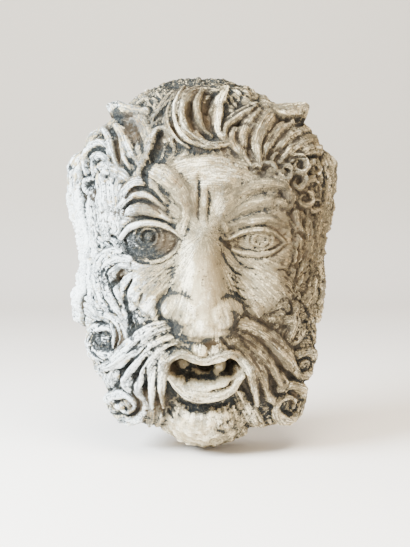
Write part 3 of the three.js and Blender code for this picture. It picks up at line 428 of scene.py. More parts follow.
    def crease(
        self, path: Path, width: float, height: float, ends: Pair = (0.6, 0.6), rise: Pair = (0.5, 0.5)
    ) -> None:
        """Adds a soft ridge along a stroke, or a groove where the height is negative."""
        chosen, _, place, distance = self.near(path, width * 1.2)
        u = distance / (width * taper(place, ends))
        self.height[chosen] += height * taper(place, rise) * np.clip(1 - u * u, 0, 1) ** 1.5

    def lay(self, path: Path, half_width: float, height: float, lie: Lie = Lie()) -> None:
        """Lays a rounded strip over what is there: a lock of hair, a lid or a lip.

        Args:
            path: The points of the stroke.
            half_width: Half its width, at its widest.
            height: Its height above the dome.
            lie: How it lies.
        """
        chosen, across, place, distance = self.near(path, half_width * 1.4)
        length = len(self.dome.samples(path))
        width = half_width * taper(place, lie.ends)
        rise = taper(place, lie.rise)
        u = distance / width
        crown = np.clip(1 - u * u, 0, 1) ** lie.power
        strip = lie.floor + (height * rise - lie.floor) * crown
        if lie.pitch > 0:
            spread = across / width * half_width
            strip = strip - lie.groove * strands(spread / lie.pitch, place * length / lie.pitch, self.laid)
        under = self.height[chosen]
        if lie.moat > 0:
            under = under - lie.moat * np.exp(-(((u - 1.08) / 0.16) ** 2)) * (u > 0.9)
        over = 0.5 * (under + strip + np.hypot(under - strip, 1.0)) - 0.15
        self.height[chosen] = np.where(u < 1, np.maximum(over, under), under)
        on_top = (u < 1) & (strip > under)
        self.comb(chosen[on_top], across[on_top], place[on_top] * length)

    def lay_locks(self, locks: Sequence[Lock], relief: float = 0.65) -> None:
        """Lays locks of hair one over another, in order, each at a share of its full height."""
        for lock in locks:
            self.lay(lock.path, lock.half_width, lock.height * relief, lock.lie)

    def cut(self, slots: Sequence[Slot]) -> None:
        """Cuts slots between locks, and notes where they are painted dark, with soiling and painted shade in them."""
        for slot in slots:
            chosen, _, place, distance = self.near(slot.path, slot.width * 1.3)
            u = distance / (slot.width * taper(place, (0.5, 0.5)))
            share = np.clip(1 - u * u, 0, 1)
            self.height[chosen] -= slot.depth * share**1.3
            self.soot_and_shade[chosen] = np.maximum(self.soot_and_shade[chosen], slot.soot_and_shade * share**0.6)

    def placed(self) -> np.ndarray:
        """The carved points, with the rim kept in the plane of the back."""
        out = self.points + self.normals * self.height[:, None]
        out[:, 2] = np.maximum(out[:, 2], 0.25 * self.depth)
        out[self.edge, 2] = 0
        return out


@dataclass
class Skull:
    """Broad forms of the forehead, cheeks, muzzle and eye sockets, and the combed ground under the hair."""

    hair_floor: float = -2.5
    comb_lines: int = 26
    comb_depth: float = 2.2

    def carve(self, surface: CarvedSurface) -> None:
        """Carves the broad forms."""
        x, z = surface.x, surface.z
        face = np.hypot(x / 92, (z - 26) / 90)
        chin = np.hypot(x / 76, (z + 60) / 130)
        hair = np.maximum(ease(0.97, 1.12, face) * (z > -50), ease(1, 1.15, chin) * (z < 0))
        angle = np.arctan2(z - 10, x)
        radius = np.hypot(x, z - 10)
        sway = 0.10 * np.sin(radius / 13 + 3 * np.sin(2 * angle)) + 0.05 * np.sin(radius / 7 + 5 * angle)
        comb = np.abs(np.sin((angle + sway) * self.comb_lines)) ** 0.8 - 0.5
        surface.comb(np.arange(len(x)), (angle + sway) * 100, radius)
        skin = np.where((hair < 0.5) & (z < 84))[0]
        bridge = np.arctan2(z[skin] - 40, x[skin] + 4)
        surface.comb(skin, bridge * 60, np.hypot(x[skin] + 4, z[skin] - 40))
        forehead = np.where((hair < 0.5) & (z >= 84))[0]
        surface.comb(forehead, z[forehead] + x[forehead] ** 2 / 200, x[forehead])
        surface.height += hair * (self.hair_floor + self.comb_depth * comb * ease(2, 14, surface.depth))
        surface.bump(0, 92, 62, 40, 5)
        surface.bump(-3, 62, 36, 32, 6)
        surface.bump(-60, -26, 38, 36, 12)
        surface.bump(62, -26, 40, 36, 13)
        surface.bump(-2, -84, 66, 46, 21, power=1.2)
        surface.bump(0, -166, 50, 32, 12)
        surface.bump(-59, 32, 34, 28, -14, turn=-6, power=1)
        surface.bump(54, 28, 36, 20, -8, turn=4, power=1)


@dataclass
class Ears:
    """Long goat ears that hang down the sides, behind the hair."""

    half_width: float = 17
    height: float = 6

    def carve(self, surface: CarvedSurface) -> None:
        """Carves both ears."""
        ear = (
            (135, 115, 36), (142, 94, 32), (140, 60, 28), (133, 24, 27), (130, -10, 26), (133, -40, 24),
            (134, -60, 20),
        )
        flare = ((140, 110, 34), (144, 92, 30), (141, 62, 28), (135, 34, 27))
        flares = {Side.LEFT: (22, 9), Side.RIGHT: (20, 7)}
        lobe = ((131, -20, 26), (134, -40, 24), (135, -56, 20))
        lobes = {Side.LEFT: 5, Side.RIGHT: -2}
        lie = Lie(power=0.6, moat=2, floor=-1, pitch=0, ends=(0.8, 0.55), rise=(1, 1))
        for side in Side:
            surface.lay(self.on(side, ear), self.half_width, self.height, lie)
            width, height = flares[side]
            surface.crease(self.on(side, flare), width, height, (0.9, 0.6), (1, 0.3))
            surface.crease(self.on(side, lobe), 17, lobes[side], (0.7, 0.7), (0.4, 1))

    @staticmethod
    def on(side: Side, path: Path) -> list[tuple[float, float, float]]:
        """A path taken to one side of the head."""
        return [(side.value * x, z, depth) for x, z, depth in path]


@dataclass
class Nose:
    """The broad nose: ridge height and half width by level, then the ball and the nostril wings."""

    axis_x: float = -4
    ridge: Path = (
        (-73, 0), (-67, 12), (-61, 30), (-55, 43), (-48, 50), (-39, 52), (-29, 50), (-15, 42), (0, 34),
        (20, 23), (34, 15), (46, 9), (58, 0),
    )
    half_width: Path = ((-72, 32), (-54, 34), (-35, 36), (-10, 35), (20, 29), (46, 22), (58, 20))

    def carve(self, surface: CarvedSurface) -> None:
        """Carves the nose."""
        x, z = surface.x, surface.z
        height = np.interp(z, *zip(*self.ridge))
        u = (x - self.axis_x) / np.interp(z, *zip(*self.half_width))
        surface.height += np.where(surface.depth > 30, height * np.clip(1 - u * u, 0, 1) ** 1.7, 0)
        surface.bump(self.axis_x, -41, 23, 21, 6, power=0.8)
        surface.bump(-30, -39, 18, 16, 17, turn=12, power=0.9)
        surface.bump(20, -42, 18, 16, 17, turn=-12, power=0.9)
        surface.crease(((-38, -20), (-50, -36), (-46, -56)), 6, -4)
        surface.crease(((30, -24), (41, -40), (38, -58)), 6, -4)


@dataclass
class Eyes:
    """The wide left eye under crescent brows, and the narrow right eye with its folds."""

    left: Pair = (-61, 34)
    right: Pair = (57, 31)
    brow_slots: Sequence[Slot] = (
        Slot(((-87, 57), (-83, 67), (-74, 73), (-64, 73), (-56, 67), (-48, 58)), 3.4, 3, 0.8),
        Slot(((-83, 75), (-76, 82), (-67, 85), (-58, 82), (-48, 72)), 4.2, 4, 0.9),
        Slot(((-84, 55), (-66, 54), (-50, 53)), 1.6, 2, 0.7),
    )
    corner_slots: Sequence[Slot] = (
        Slot(((13, 34), (15, 30)), 3, 3),
        Slot(((17, 30), (25, 23)), 4, 4, 0.9),
        Slot(((24, 22), (31, 11), (40, 3), (50, 1)), 1.8, 2, 0.7),
        Slot(((13, 27), (16, 15), (26, 1), (36, -6)), 1.8, 2, 0.6),
    )
    lid_slots: Sequence[Slot] = (
        Slot(((-89, 33), (-80, 43), (-62, 46.5), (-42, 42.5), (-27, 33)), 1.8, 2),
        Slot(((-86, 30), (-82, 19), (-72, 9), (-60, 7)), 3.6, 3),
        Slot(((-80, 26), (-70, 20), (-58, 20), (-48, 26)), 2, 2, 0.8),
        Slot(((-30, 30), (-34, 22), (-42, 16)), 1.8, 2, 0.8),
    )

    def carve(self, surface: CarvedSurface) -> None:
        """Carves both eyes."""
        self.carve_left(surface)
        self.carve_right(surface)

    def carve_left(self, surface: CarvedSurface) -> None:
        """Carves the left eye, its ringed ball, lids and brows."""
        x, z = self.left
        surface.bump(x + 1, z - 3, 27, 21, 10, power=0.6)
        surface.crease(ring(x, z, 9.8, 0.92), 2.4, 2.2, (1, 1), (1, 1))
        surface.crease(ring(x, z, 15.5, 0.92), 2.8, 2.4, (1, 1), (1, 1))
        surface.bump(x, z, 5, 5, 2, power=0.7)
        surface.crease(ring(x, z, 6.6, 0.97), 2.2, -2.6, (1, 1), (1, 1))
        upper = ((-90, 33), (-80, 44), (-62, 48.5), (-42, 44.5), (-26, 34))
        lower = ((-90, 31), (-85, 19), (-70, 8), (-50, 9), (-34, 19), (-26, 33))
        fold = ((-88, 58), (-78, 63), (-66, 64), (-52, 60), (-38, 52))
        low_brow = ((-90, 66), (-80, 76), (-68, 79), (-56, 75), (-44, 64))
        high_brow = ((-88, 78), (-76, 89), (-62, 89), (-50, 81), (-42, 70))
        surface.lay(upper, 4.6, 5, Lie(pitch=0, power=0.85, floor=-5, ends=(0.8, 0.6), rise=(0.8, 0.6)))
        lid = Lie(pitch=5, groove=1, power=0.85, floor=-9, ends=(0.8, 0.8), rise=(1, 1))
        surface.lay(lower, 5, 0.5, lid)
        surface.cut(self.lid_slots)
        soft = dict(pitch=0, power=0.85)
        surface.lay(high_brow, 9, 4.5, Lie(floor=-2, ends=(0.7, 0.4), **soft))
        surface.lay(low_brow, 8, 5, Lie(floor=-3, ends=(0.7, 0.4), **soft))
        surface.lay(fold, 8, 4, Lie(floor=-4, ends=(0.7, 0.5), **soft))
        surface.cut(self.brow_slots)

    def carve_right(self, surface: CarvedSurface) -> None:
        """Carves the right eye, its bags and the combed brow."""
        x, z = self.right
        surface.bump(x, z, 24, 13, 5, power=0.6)
        surface.crease(ring(x, z, 8.5, 0.8), 2.4, 1.6, (1, 1), (1, 1))
        surface.crease(ring(x, z, 14, 0.8), 2.6, 1.6, (1, 1), (1, 1))
        upper = ((20, 31), (34, 38), (52, 42), (70, 39), (84, 28))
        lower = ((22, 24), (34, 18), (52, 15), (70, 17), (84, 27))
        surface.lay(upper, 4.5, 1.5, Lie(pitch=0, power=0.85, floor=-5, ends=(0.7, 0.6)))
        surface.lay(lower, 4.5, -1, Lie(pitch=0, power=0.85, floor=-6, ends=(0.7, 0.7)))
        surface.cut(self.corner_slots)
        bag = ((16, 18), (26, 4), (44, -3), (64, -1), (82, 9))
        low_bag = ((12, 10), (24, -8), (44, -14), (64, -12))
        surface.lay(bag, 7, 2, Lie(pitch=6, power=0.85, floor=-2, ends=(0.5, 0.4)))
        surface.lay(low_bag, 7, 1, Lie(pitch=6, power=0.85, floor=-1.5, ends=(0.5, 0.3)))
        brows = (
            (((24, 46), (44, 51), (66, 53), (86, 44)), 7, 2),
            (((20, 54), (40, 66), (64, 72), (86, 67), (98, 52)), 9, 2.5),
            (((14, 60), (34, 80), (58, 90), (84, 86), (104, 68)), 10, 3),
        )
        for path, half_width, height in brows:
            lie = Lie(pitch=4.5, groove=1.4, power=0.85, floor=-2, ends=(0.6, 0.4))
            surface.lay(path, half_width, height, lie)


@dataclass
class Frown:
    """Knitted swellings between the brows, the upright lines of the frown, and the fine skin creases."""

    line_depth: float = 4.5
    wrinkle_depth: float = 1.2

    def carve(self, surface: CarvedSurface) -> None:
        """Carves the frown and the wrinkles."""
        left = ((-66, 108), (-44, 98), (-27, 82), (-19, 62), (-25, 42))
        right = ((30, 92), (15, 80), (9, 62), (17, 44))
        soft = dict(floor=-1, power=0.9, moat=0, pitch=0)
        surface.lay(left, 14, 8, Lie(ends=(0.5, 0.6), rise=(0.3, 0.7), **soft))
        surface.crease(((-9, 100), (-8, 80), (-10, 50)), 2.8, -self.line_depth)
        surface.crease(((1, 86), (2.5, 70), (0, 48)), 2.8, -self.line_depth)
        surface.lay(right, 11, 6, Lie(ends=(0.5, 0.7), rise=(0.4, 0.7), **soft))
        for i in range(6):
            a = math.radians(150 + i * 13)
            c, s = math.cos(a), math.sin(a)
            line = ((-92 + 4 * c, 33 + 4 * s), (-92 + 24 * c, 33 + 20 * s))
            surface.crease(line, 1.6, -self.wrinkle_depth, (1, 0.6), (1, 0.5))
        for i in range(7):
            t = i / 6
            line = ((14 + 8 * t, -46 * t), (34 + 10 * t, -14 - 44 * t), (58 + 6 * t, -22 - 52 * t))
            surface.crease(line, 1.8, -self.wrinkle_depth, (1, 0.7), (0.8, 0.5))
        for i in range(5):
            t = i / 4
            line = ((-28 - 10 * t, 6 - 18 * t), (-44 - 8 * t, -22 * t), (-62, -2 - 26 * t))
            surface.crease(line, 1.8, -self.wrinkle_depth, (1, 0.7), (0.8, 0.5))


@dataclass
class Mouth:
    """The open mouth and its lips: upper and lower edge of the opening by x."""

    depth: float = 38
    half_width: float = 39
    upper_edge: Path = (
        (-41, -102), (-34, -93), (-27, -89), (-18, -93), (-5, -97), (6, -95), (14, -91), (24, -90),
        (31, -94), (37, -103),
    )
    lower_edge: Path = (
        (-41, -102), (-34, -112), (-24, -119), (-10, -122), (4, -122), (18, -118), (28, -112), (37, -103),
    )

    def carve(self, surface: CarvedSurface) -> None:
        """Carves the opening and the lips."""
        x, z = surface.x, surface.z
        top = np.interp(x, *zip(*self.upper_edge)) - z
        bottom = z - np.interp(x, *zip(*self.lower_edge))
        opening = ease(-1, 6, np.minimum(top, bottom))
        within = (np.abs(x + 2) < self.half_width) & (surface.depth > 30)
        surface.height -= self.depth * opening * within
        surface.bump(16, -105, 10, 16, 19, power=0.7)
        surface.bump(-27, -106, 9, 16, 13, power=0.8)
        surface.bump(-4, -117, 26, 10, 14, power=0.8)
        lip = dict(pitch=6, groove=1.2, rise=(0.8, 0.8))
        lower = ((-38, -110), (-27, -122), (-9, -130), (10, -130), (25, -123), (37, -110))
        upper = (
            (-46, -98), (-34, -86), (-25, -82), (-14, -86), (-3, -90), (12, -85), (26, -83), (36, -88), (44, -98),
        )
        surface.lay(lower, 7.5, 20, Lie(floor=8, power=0.9, ends=(0.5, 0.5), moat=0.6, **lip))
        surface.crease(((-30, -138), (-20, -145), (-4, -147), (22, -142)), 6, -6)
        surface.lay(upper, 5, 23, Lie(floor=12, power=0.8, ends=(0.7, 0.7), moat=0, **lip))
        surface.bump(-8, -76, 9, 12, 5, power=1)


@dataclass
class Crown:
    """Shallow locks over the top of the head, from the wall forwards."""

    locks: int = 12
    spread_degrees: float = 66

    def carve(self, surface: CarvedSurface) -> None:
        """Lays the locks in a fan."""
        lie = Lie(ends=(0.9, 0.7), rise=(0.9, 0.7), floor=-1.5)
        for i in range(self.locks):
            s = math.sin(math.radians(-self.spread_degrees + i * 12))
            x, z = 92 * s, 196 - 18 * s * s
            sway = 10 * math.sin(i * 2.4)
            path = (
                (x * 0.9, z, 6), (x + sway * 0.4, z - 2, 34), (x + sway, z - 12, 62),
                (x * 0.9 + sway * 1.6, z - 28),
            )
            surface.lay(path, 14, 2.0, lie)


RIM_OF_CURL = Lie(pitch=0, moat=1.0, power=0.8, rise=(0.7, 0.5), ends=(0.7, 0.5))
SHALLOW = Lie(floor=-0.8, moat=0, pitch=6, groove=0.9, rise=(0.8, 0.6), ends=(0.8, 0.6))


@dataclass
class LeftHair:
    """Locks from the crown down the viewer's left, to the cheek."""

    crown_locks: Sequence[Lock] = (
        Lock(((-72, 176), (-62, 186), (-48, 190), (-30, 190)), 8, 5),
        Lock(((-76, 168), (-64, 178), (-54, 174), (-49, 164), (-54, 156)), 8, 6),
        Lock(((-50, 156), (-47, 168), (-39, 180), (-26, 189), (-8, 192)), 8, 6),
        Lock(((-28, 184), (-36, 172), (-39, 158), (-40, 144), (-35, 128)), 9, 7, Lie(pitch=4)),
    )
    brow_locks: Sequence[Lock] = (
        Lock(((-52, 162), (-57, 148), (-63, 132), (-70, 116), (-72, 100)), 10, 4, SHALLOW),
        Lock(((-60, 122), (-57, 136), (-51, 146), (-43, 147), (-37, 139), (-34, 124)), 3.6, 6, RIM_OF_CURL),
        Lock(((-100, 153), (-88, 160), (-75, 160), (-66, 152), (-62, 139), (-63, 124), (-59, 110)), 10, 8),
        Lock(((-95, 152), (-88, 143), (-83, 130), (-77, 117), (-66, 104)), 7, 8),
        Lock(((-108, 149), (-102, 136), (-98, 120), (-92, 106)), 5, 7, RIM_OF_CURL),
        Lock(((-91, 148), (-88, 134), (-86, 118), (-80, 106)), 4, 7, RIM_OF_CURL),
    )
    temple_locks: Sequence[Lock] = (
        Lock(((-96, 100), (-97, 80), (-98, 60), (-97, 42)), 13, 2.5, SHALLOW),
        Lock(((-112, 96), (-109, 78), (-109, 58), (-107, 36)), 12, 3, SHALLOW),
        Lock(((-123, 78), (-123, 56), (-121, 34), (-118, 10)), 11, 3.5, SHALLOW),
        Lock(((-136, 98), (-135, 120), (-127, 136), (-114, 146), (-103, 142)), 8, 6),
        Lock(((-127, 102), (-127, 117), (-119, 130), (-107, 131), (-100, 120), (-95, 106)), 6.5, 7),
        Lock(((-118, 98), (-119, 111), (-112, 119), (-104, 115), (-99, 104)), 5, 6, RIM_OF_CURL),
        Lock(((-122, 98), (-109, 106), (-96, 103), (-84, 95), (-72, 82)), 9, 3.5, Lie(pitch=6, groove=1.4, floor=-1)),
        Lock(coil(-123, 86, 9, 4, 60, 1.0), 5, 5),
    )
    cheek_locks: Sequence[Lock] = (
        Lock(((-128, 14), (-127, -10), (-124, -32), (-116, -50)), 9, 4),
        Lock(((-90, 20), (-102, 17), (-112, 8), (-118, -6), (-116, -24), (-108, -42), (-98, -58)), 9, 4),
        Lock(((-82, 11), (-93, 11), (-103, 4), (-108, -8), (-105, -24), (-96, -41), (-85, -58)), 8, 6),
        Lock(((-82, 4), (-91, 3), (-98, -5), (-97, -17), (-90, -32), (-85, -42)), 5, 6, RIM_OF_CURL),
        Lock(((-72, -10), (-76, -24), (-75, -40), (-70, -56)), 4, 5, RIM_OF_CURL),
    )
    slots: Sequence[Slot] = (
        Slot(((-38, 174), (-46, 164), (-54, 156)), 3.5, 4),
        Slot(((-58, 180), (-56, 172)), 3, 4, 0.8),
        Slot(((-48, 141), (-50, 128), (-57, 114), (-64, 101), (-62, 88)), 7.5, 5, 0.8),
        Slot(((-94, 141), (-93, 128), (-92, 113)), 4.2, 5, 0.5),
        Slot(((-84, 146), (-80, 136)), 3, 4),
        Slot(((-71, 142), (-67, 130), (-66, 122)), 3.2, 4),
        Slot(((-78, 116), (-74, 106), (-78, 100)), 3, 3, 0.8),
        Slot(((-124, 110), (-123, 122), (-114, 128), (-104, 126)), 2.4, 4),
        Slot(((-116, 122), (-116, 110), (-111, 101)), 2.4, 4),
        Slot(((-136, 112), (-133, 104)), 4, 3, 0.9),
        Slot(((-126, 90), (-121, 92), (-119, 84)), 3, 4),
        Slot(((-121, 79), (-118, 70)), 2, 2.5, 0.7),
        Slot(((-104, 2), (-109, -9), (-107, -24)), 2.6, 4),
        Slot(((-90, -8), (-96, -14), (-99, -24)), 4, 6),
        Slot(((-77, -12), (-83, -24), (-84, -38), (-80, -52), (-77, -62)), 5.5, 7, 0.9),
        Slot(((-64, -24), (-68, -34)), 2, 3),
    )

    def carve(self, surface: CarvedSurface) -> None:
        """Lays the locks, then cuts the slots between them."""
        for locks in (self.crown_locks, self.brow_locks, self.temple_locks, self.cheek_locks):
            surface.lay_locks(locks)
        surface.bump(-92, -2, 7, 9, -3)
        surface.cut(self.slots)


@dataclass
class Forelock:
    """The swirl over the middle of the forehead, with the S-shaped locks beside it."""

    locks: Sequence[Lock] = (
        Lock(((14, 194), (34, 188), (50, 182), (68, 172)), 9, 6),
        Lock(((8, 192), (24, 188), (38, 180), (47, 172), (52, 164)), 7, 5, Lie(ends=(0.9, 0.7))),
        Lock(((66, 168), (53, 162), (44, 151), (38, 138), (39, 122), (46, 108)), 9, 10),
        Lock(((56, 172), (44, 167), (32, 159), (22, 152), (19, 141), (25, 128)), 7, 9),
        Lock(((30, 146), (27, 136), (33, 125), (42, 113)), 6, 8),
        Lock(((14, 188), (-4, 189), (-19, 180), (-25, 164), (-22, 148), (-10, 136), (8, 129), (28, 131)), 9, 12),
        Lock(((-4, 186), (-9, 173), (-8, 158), (-3, 146), (6, 138)), 5, 15),
        Lock(((22, 188), (15, 175), (12, 160), (12, 145), (20, 132)), 7, 12, Lie(ends=(0.9, 0.5))),
        Lock(((-21, 188), (-30, 176), (-33, 161), (-29, 145), (-19, 134), (-2, 127), (14, 127)), 2.8, 16, RIM_OF_CURL),
        Lock(((-14, 184), (-23, 174), (-26, 160), (-23, 147), (-13, 138), (2, 132), (16, 132)), 2.4, 16, RIM_OF_CURL),
        Lock(((-36, 178), (-40, 162), (-38, 147), (-30, 135), (-18, 127)), 2.6, 10, RIM_OF_CURL),
    )
    slots: Sequence[Slot] = (
        Slot(((-16, 172), (-18, 158), (-13, 144)), 5.5, 6),
        Slot(((9, 183), (3, 174), (0, 163)), 4.2, 6),
        Slot(((-2, 160), (0, 148)), 2.6, 3, 0.6),
        Slot(((47, 170), (37, 165), (26, 158), (18, 153), (15, 143)), 2.2, 3.5),
        Slot(((29, 151), (37, 152), (45, 149)), 4, 4),
        Slot(((30, 144), (31, 134)), 2.6, 3, 0.7),
        Slot(((40, 184), (36, 174)), 2.2, 2.5, 0.7),
        Slot(((22, 178), (30, 171)), 2, 2.5, 0.6),
    )

    def carve(self, surface: CarvedSurface) -> None:
        """Lays the locks and cuts the hollows inside the swirl."""
        surface.lay_locks(self.locks)
        surface.cut(self.slots)


@dataclass
class RightHair:
    """Locks from the right horn down the viewer's right, with the tight curls of the temple."""

    locks: Sequence[Lock] = (
        Lock(((132, 126), (115, 128), (101, 122), (88, 112)), 9, 6),
        Lock(((124, 138), (106, 136), (90, 126), (77, 112)), 9, 7),
        Lock(((116, 148), (98, 144), (82, 134), (69, 116)), 9, 8),
        Lock(((106, 158), (90, 154), (74, 143), (63, 126), (60, 110)), 9, 9),
        Lock(((94, 170), (74, 166), (59, 152), (52, 134), (55, 110)), 13, 11, Lie(pitch=8, groove=1.1)),
    )
    curls: Sequence[Lock] = (
        Lock(((70, 100), (84, 92), (90, 78), (92, 62)), 10, 3, SHALLOW),
        Lock(coil(84, 104, 9, 3, 200, 1.0), 4.5, 6),
        Lock(coil(99, 109, 11, 4, 150, -1.1), 5, 7),
        Lock(coil(98, 92, 10, 4, 120, -1.0), 5, 6),
        Lock(coil(118, 105, 9, 4, 160, -0.9), 5, 6),
        Lock(coil(115, 88, 8, 4, 20, 0.9), 4.5, 6),
        Lock(coil(106, 74, 10, 3, 90, -1.1), 4.5, 7),
        Lock(coil(120, 68, 8, 3, 200, 1.0), 4.5, 5),
        Lock(coil(66, 104, 8, 3, 150, -0.9), 4, 6),
        Lock(coil(51, 104, 6, 2.5, 30, 0.9), 3.2, 5),
    )
    side_locks: Sequence[Lock] = (
        Lock(((96, 58), (99, 36), (98, 10), (91, -14), (86, -38)), 11, 4),
        Lock(((112, 64), (112, 38), (109, 12), (101, -12), (94, -34)), 11, 5),
        Lock(((124, 84), (126, 54), (124, 24), (120, -6), (110, -34)), 11, 5),
        Lock(((122, -8), (117, -28), (107, -48), (94, -64)), 12, 6),
    )
    slots: Sequence[Slot] = (
        Slot(((79, 127), (73, 123)), 3, 4),
        Slot(((71, 141), (66, 132)), 2.4, 3),
        Slot(((60, 110), (61, 104)), 3, 4),
        Slot(((44, 106), (48, 103)), 3, 3, 0.8),
        Slot(((85, 113), (94, 118), (104, 117)), 2.6, 4),
        Slot(((92, 96), (90, 88), (96, 82)), 2.6, 4, 0.9),
        Slot(((118, 100), (121, 94)), 3.2, 4),
        Slot(((112, 86), (108, 82)), 3, 4, 0.9),
        Slot(((96, 70), (92, 58), (95, 46)), 3, 3, 0.8),
        Slot(((114, 78), (118, 66)), 3, 3, 0.8),
        Slot(((99, 38), (105, 32)), 5, 4, 0.9),
        Slot(((98, 26), (98, 6), (99, -18)), 3, 4, 0.8),
        Slot(((104, -36), (110, -50), (118, -56)), 3, 4, 0.9),
    )

    def carve(self, surface: CarvedSurface) -> None:
        """Lays the locks, then cuts the slots between them."""
        for locks in (self.locks, self.side_locks, self.curls):
            surface.lay_locks(locks)
        surface.cut(self.slots)


@dataclass
class Beard:
    """The curls of the beard beside the mouth, and the combed block of the chin."""

    left: Sequence[Lock] = (
        Lock(((-44, -128), (-46, -150), (-52, -180)), 10, 6),
        Lock(((-58, -126), (-58, -150), (-60, -178)), 9, 7),
        Lock(((-70, -114), (-71, -128), (-67, -142)), 6, 9, Lie(pitch=0)),
        Lock(((-116, -96), (-112, -110), (-106, -122), (-100, -136)), 10, 6),
        Lock(((-92, -96), (-99, -110), (-100, -126), (-92, -140)), 9, 7, Lie(pitch=7)),
        Lock(((-80, -112), (-84, -124), (-80, -138)), 9, 7),
        Lock(coil(-87, -149, 24, 7, 55, -1.45), 9, 11),
        Lock(coil(-108, -76, 25, 9, 85, -1.3), 10, 8),
        Lock(((-101, -58), (-96, -70), (-98, -84)), 3.6, 9, RIM_OF_CURL),
    )
    right: Sequence[Lock] = (
        Lock(((56, -112), (66, -130), (76, -150)), 11, 8),
        Lock(((72, -108), (82, -122), (88, -138)), 10, 8),
        Lock(((32, -128), (42, -146), (54, -166), (70, -182, 50)), 12, 9),
        Lock(((112, -46), (118, -64), (121, -84), (122, -104)), 11, 6),
        Lock(((96, -40), (96, -56), (90, -74), (92, -92)), 10, 8),
        Lock(coil(88, -70, 17, 6, 150, -1.1), 8, 7),
        Lock(coil(109, -109, 18, 6, 120, -1.2), 9, 8),
        Lock(coil(90, -150, 25, 7, 120, -1.4), 10, 12),
    )
    chin_strands: int = 7
    slots: Sequence[Slot] = (
        Slot(((-118, -60), (-108, -60)), 4.5, 4, 0.9),
        Slot(((-115, -70), (-113, -79)), 4, 6),
        Slot(((-103, -74), (-104, -84)), 3.2, 5),
        Slot(((-121, -80), (-118, -92), (-106, -98)), 3.4, 5),
        Slot(((-121, -102), (-116, -116)), 2.2, 3),
        Slot(((-112, -106), (-109, -116), (-103, -124)), 3.2, 5),
        Slot(((-91, -58), (-88, -70), (-92, -84)), 1.8, 3, 0.7),
        Slot(((-76, -128), (-68, -144), (-76, -158), (-90, -162), (-101, -159), (-102, -148)), 2.2, 4),
        Slot(((-88, -150), (-84, -156)), 2.4, 3),
        Slot(((-50, -126), (-46, -142), (-44, -156)), 4, 4, 0.8),
        Slot(((-40, -150), (-34, -158)), 2.4, 3),
        Slot(((62, -73), (73, -75)), 4, 5, 0.9),
        Slot(((54, -82), (54, -87)), 4, 4, 0.9),
        Slot(((94, -74), (97, -77)), 3, 4),
        Slot(((96, -98), (99, -112)), 5, 5),
        Slot(((54, -104), (57, -120)), 3, 4),
        Slot(((70, -126), (75, -136)), 4, 4),
        Slot(((85, -156), (94, -161), (100, -158)), 2.6, 4),
        Slot(((30, -126), (38, -126), (44, -132)), 3, 3, 0.8),
    )

    def carve(self, surface: CarvedSurface) -> None:
        """Lays the chin's strands, then the curls, and cuts the slots between them."""
        lie = Lie(pitch=6, groove=0.7, ends=(0.8, 0.9), rise=(0.7, 0.3), moat=0, floor=0)
        for i in range(self.chin_strands):
            x = -40 + 80 * i / (self.chin_strands - 1)
            path = ((x * 0.6, -150), (x * 0.85, -168), (x, -184), (x, -197, 34))
            surface.lay(path, 9, 4, lie)
        surface.lay_locks(self.left)
        surface.lay_locks(self.right)
        surface.bump(-94, -151, 7, 7, 4)
        surface.bump(87, -146, 8, 9, 3)
        surface.cut(self.slots)


STRAND = Lie(floor=2, power=0.8, moat=0.4, ends=(0.6, 0.35), rise=(0.9, 0.45), pitch=4.2, groove=3.2)


@dataclass
class Moustache:
    """The strands that fall from under the nose on both sides of the mouth."""

    relief: float = 0.92
    left: Sequence[Lock] = (
        Lock(((-30, -80), (-41, -92), (-46, -108), (-47, -126), (-45, -146)), 7, 21, STRAND),
        Lock(((-26, -76), (-41, -86), (-51, -102), (-56, -122), (-57, -146)), 8, 20, STRAND),
        Lock(((-24, -71), (-43, -79), (-56, -94), (-66, -112), (-72, -130)), 8, 19, STRAND),
        Lock(((-22, -66), (-44, -71), (-62, -84), (-76, -102), (-86, -118)), 10, 16, STRAND),
        Lock(((-18, -59), (-44, -60), (-64, -71), (-82, -87), (-98, -101), (-114, -110)), 12, 14, STRAND),
    )
    right: Sequence[Lock] = (
        Lock(((20, -78), (35, -88), (45, -102), (50, -122), (54, -144)), 9, 20, STRAND),
        Lock(((16, -72), (33, -80), (48, -96), (59, -116), (67, -138)), 10, 19, STRAND),
        Lock(((14, -66), (36, -71), (54, -86), (69, -104), (80, -126)), 11, 15, STRAND),
        Lock(((10, -58), (34, -58), (56, -69), (75, -86), (91, -104), (104, -122)), 13, 13, STRAND),
        Lock(((2, -60), (9, -71), (20, -81), (34, -91)), 4.5, 19, Lie(pitch=0, floor=0, ends=(0.6, 0.5))),
    )
    slots: Sequence[Slot] = (
        Slot(((-67, -73), (-73, -80), (-80, -86)), 2.4, 4),
        Slot(((-60, -78), (-72, -92), (-88, -107)), 3, 5),
        Slot(((-60, -90), (-67, -102), (-71, -112)), 2.6, 5),
        Slot(((-61, -100), (-63, -114), (-63, -130)), 3, 6),
        Slot(((-50, -96), (-52, -112), (-51, -122)), 2.2, 4, 0.9),
        Slot(((12, -66), (18, -75), (28, -82)), 1.8, 3),
        Slot(((24, -62), (40, -72), (52, -84)), 1.6, 2.4, 0.8),
        Slot(((44, -86), (54, -104)), 2, 3, 0.8),
        Slot(((58, -80), (72, -96), (84, -108)), 2, 3, 0.8),
    )

    def carve(self, surface: CarvedSurface) -> None:
        """Lays the strands and cuts the gaps between them."""
        surface.lay_locks(self.left, self.relief)
        surface.lay_locks(self.right, self.relief)
        surface.cut(self.slots)


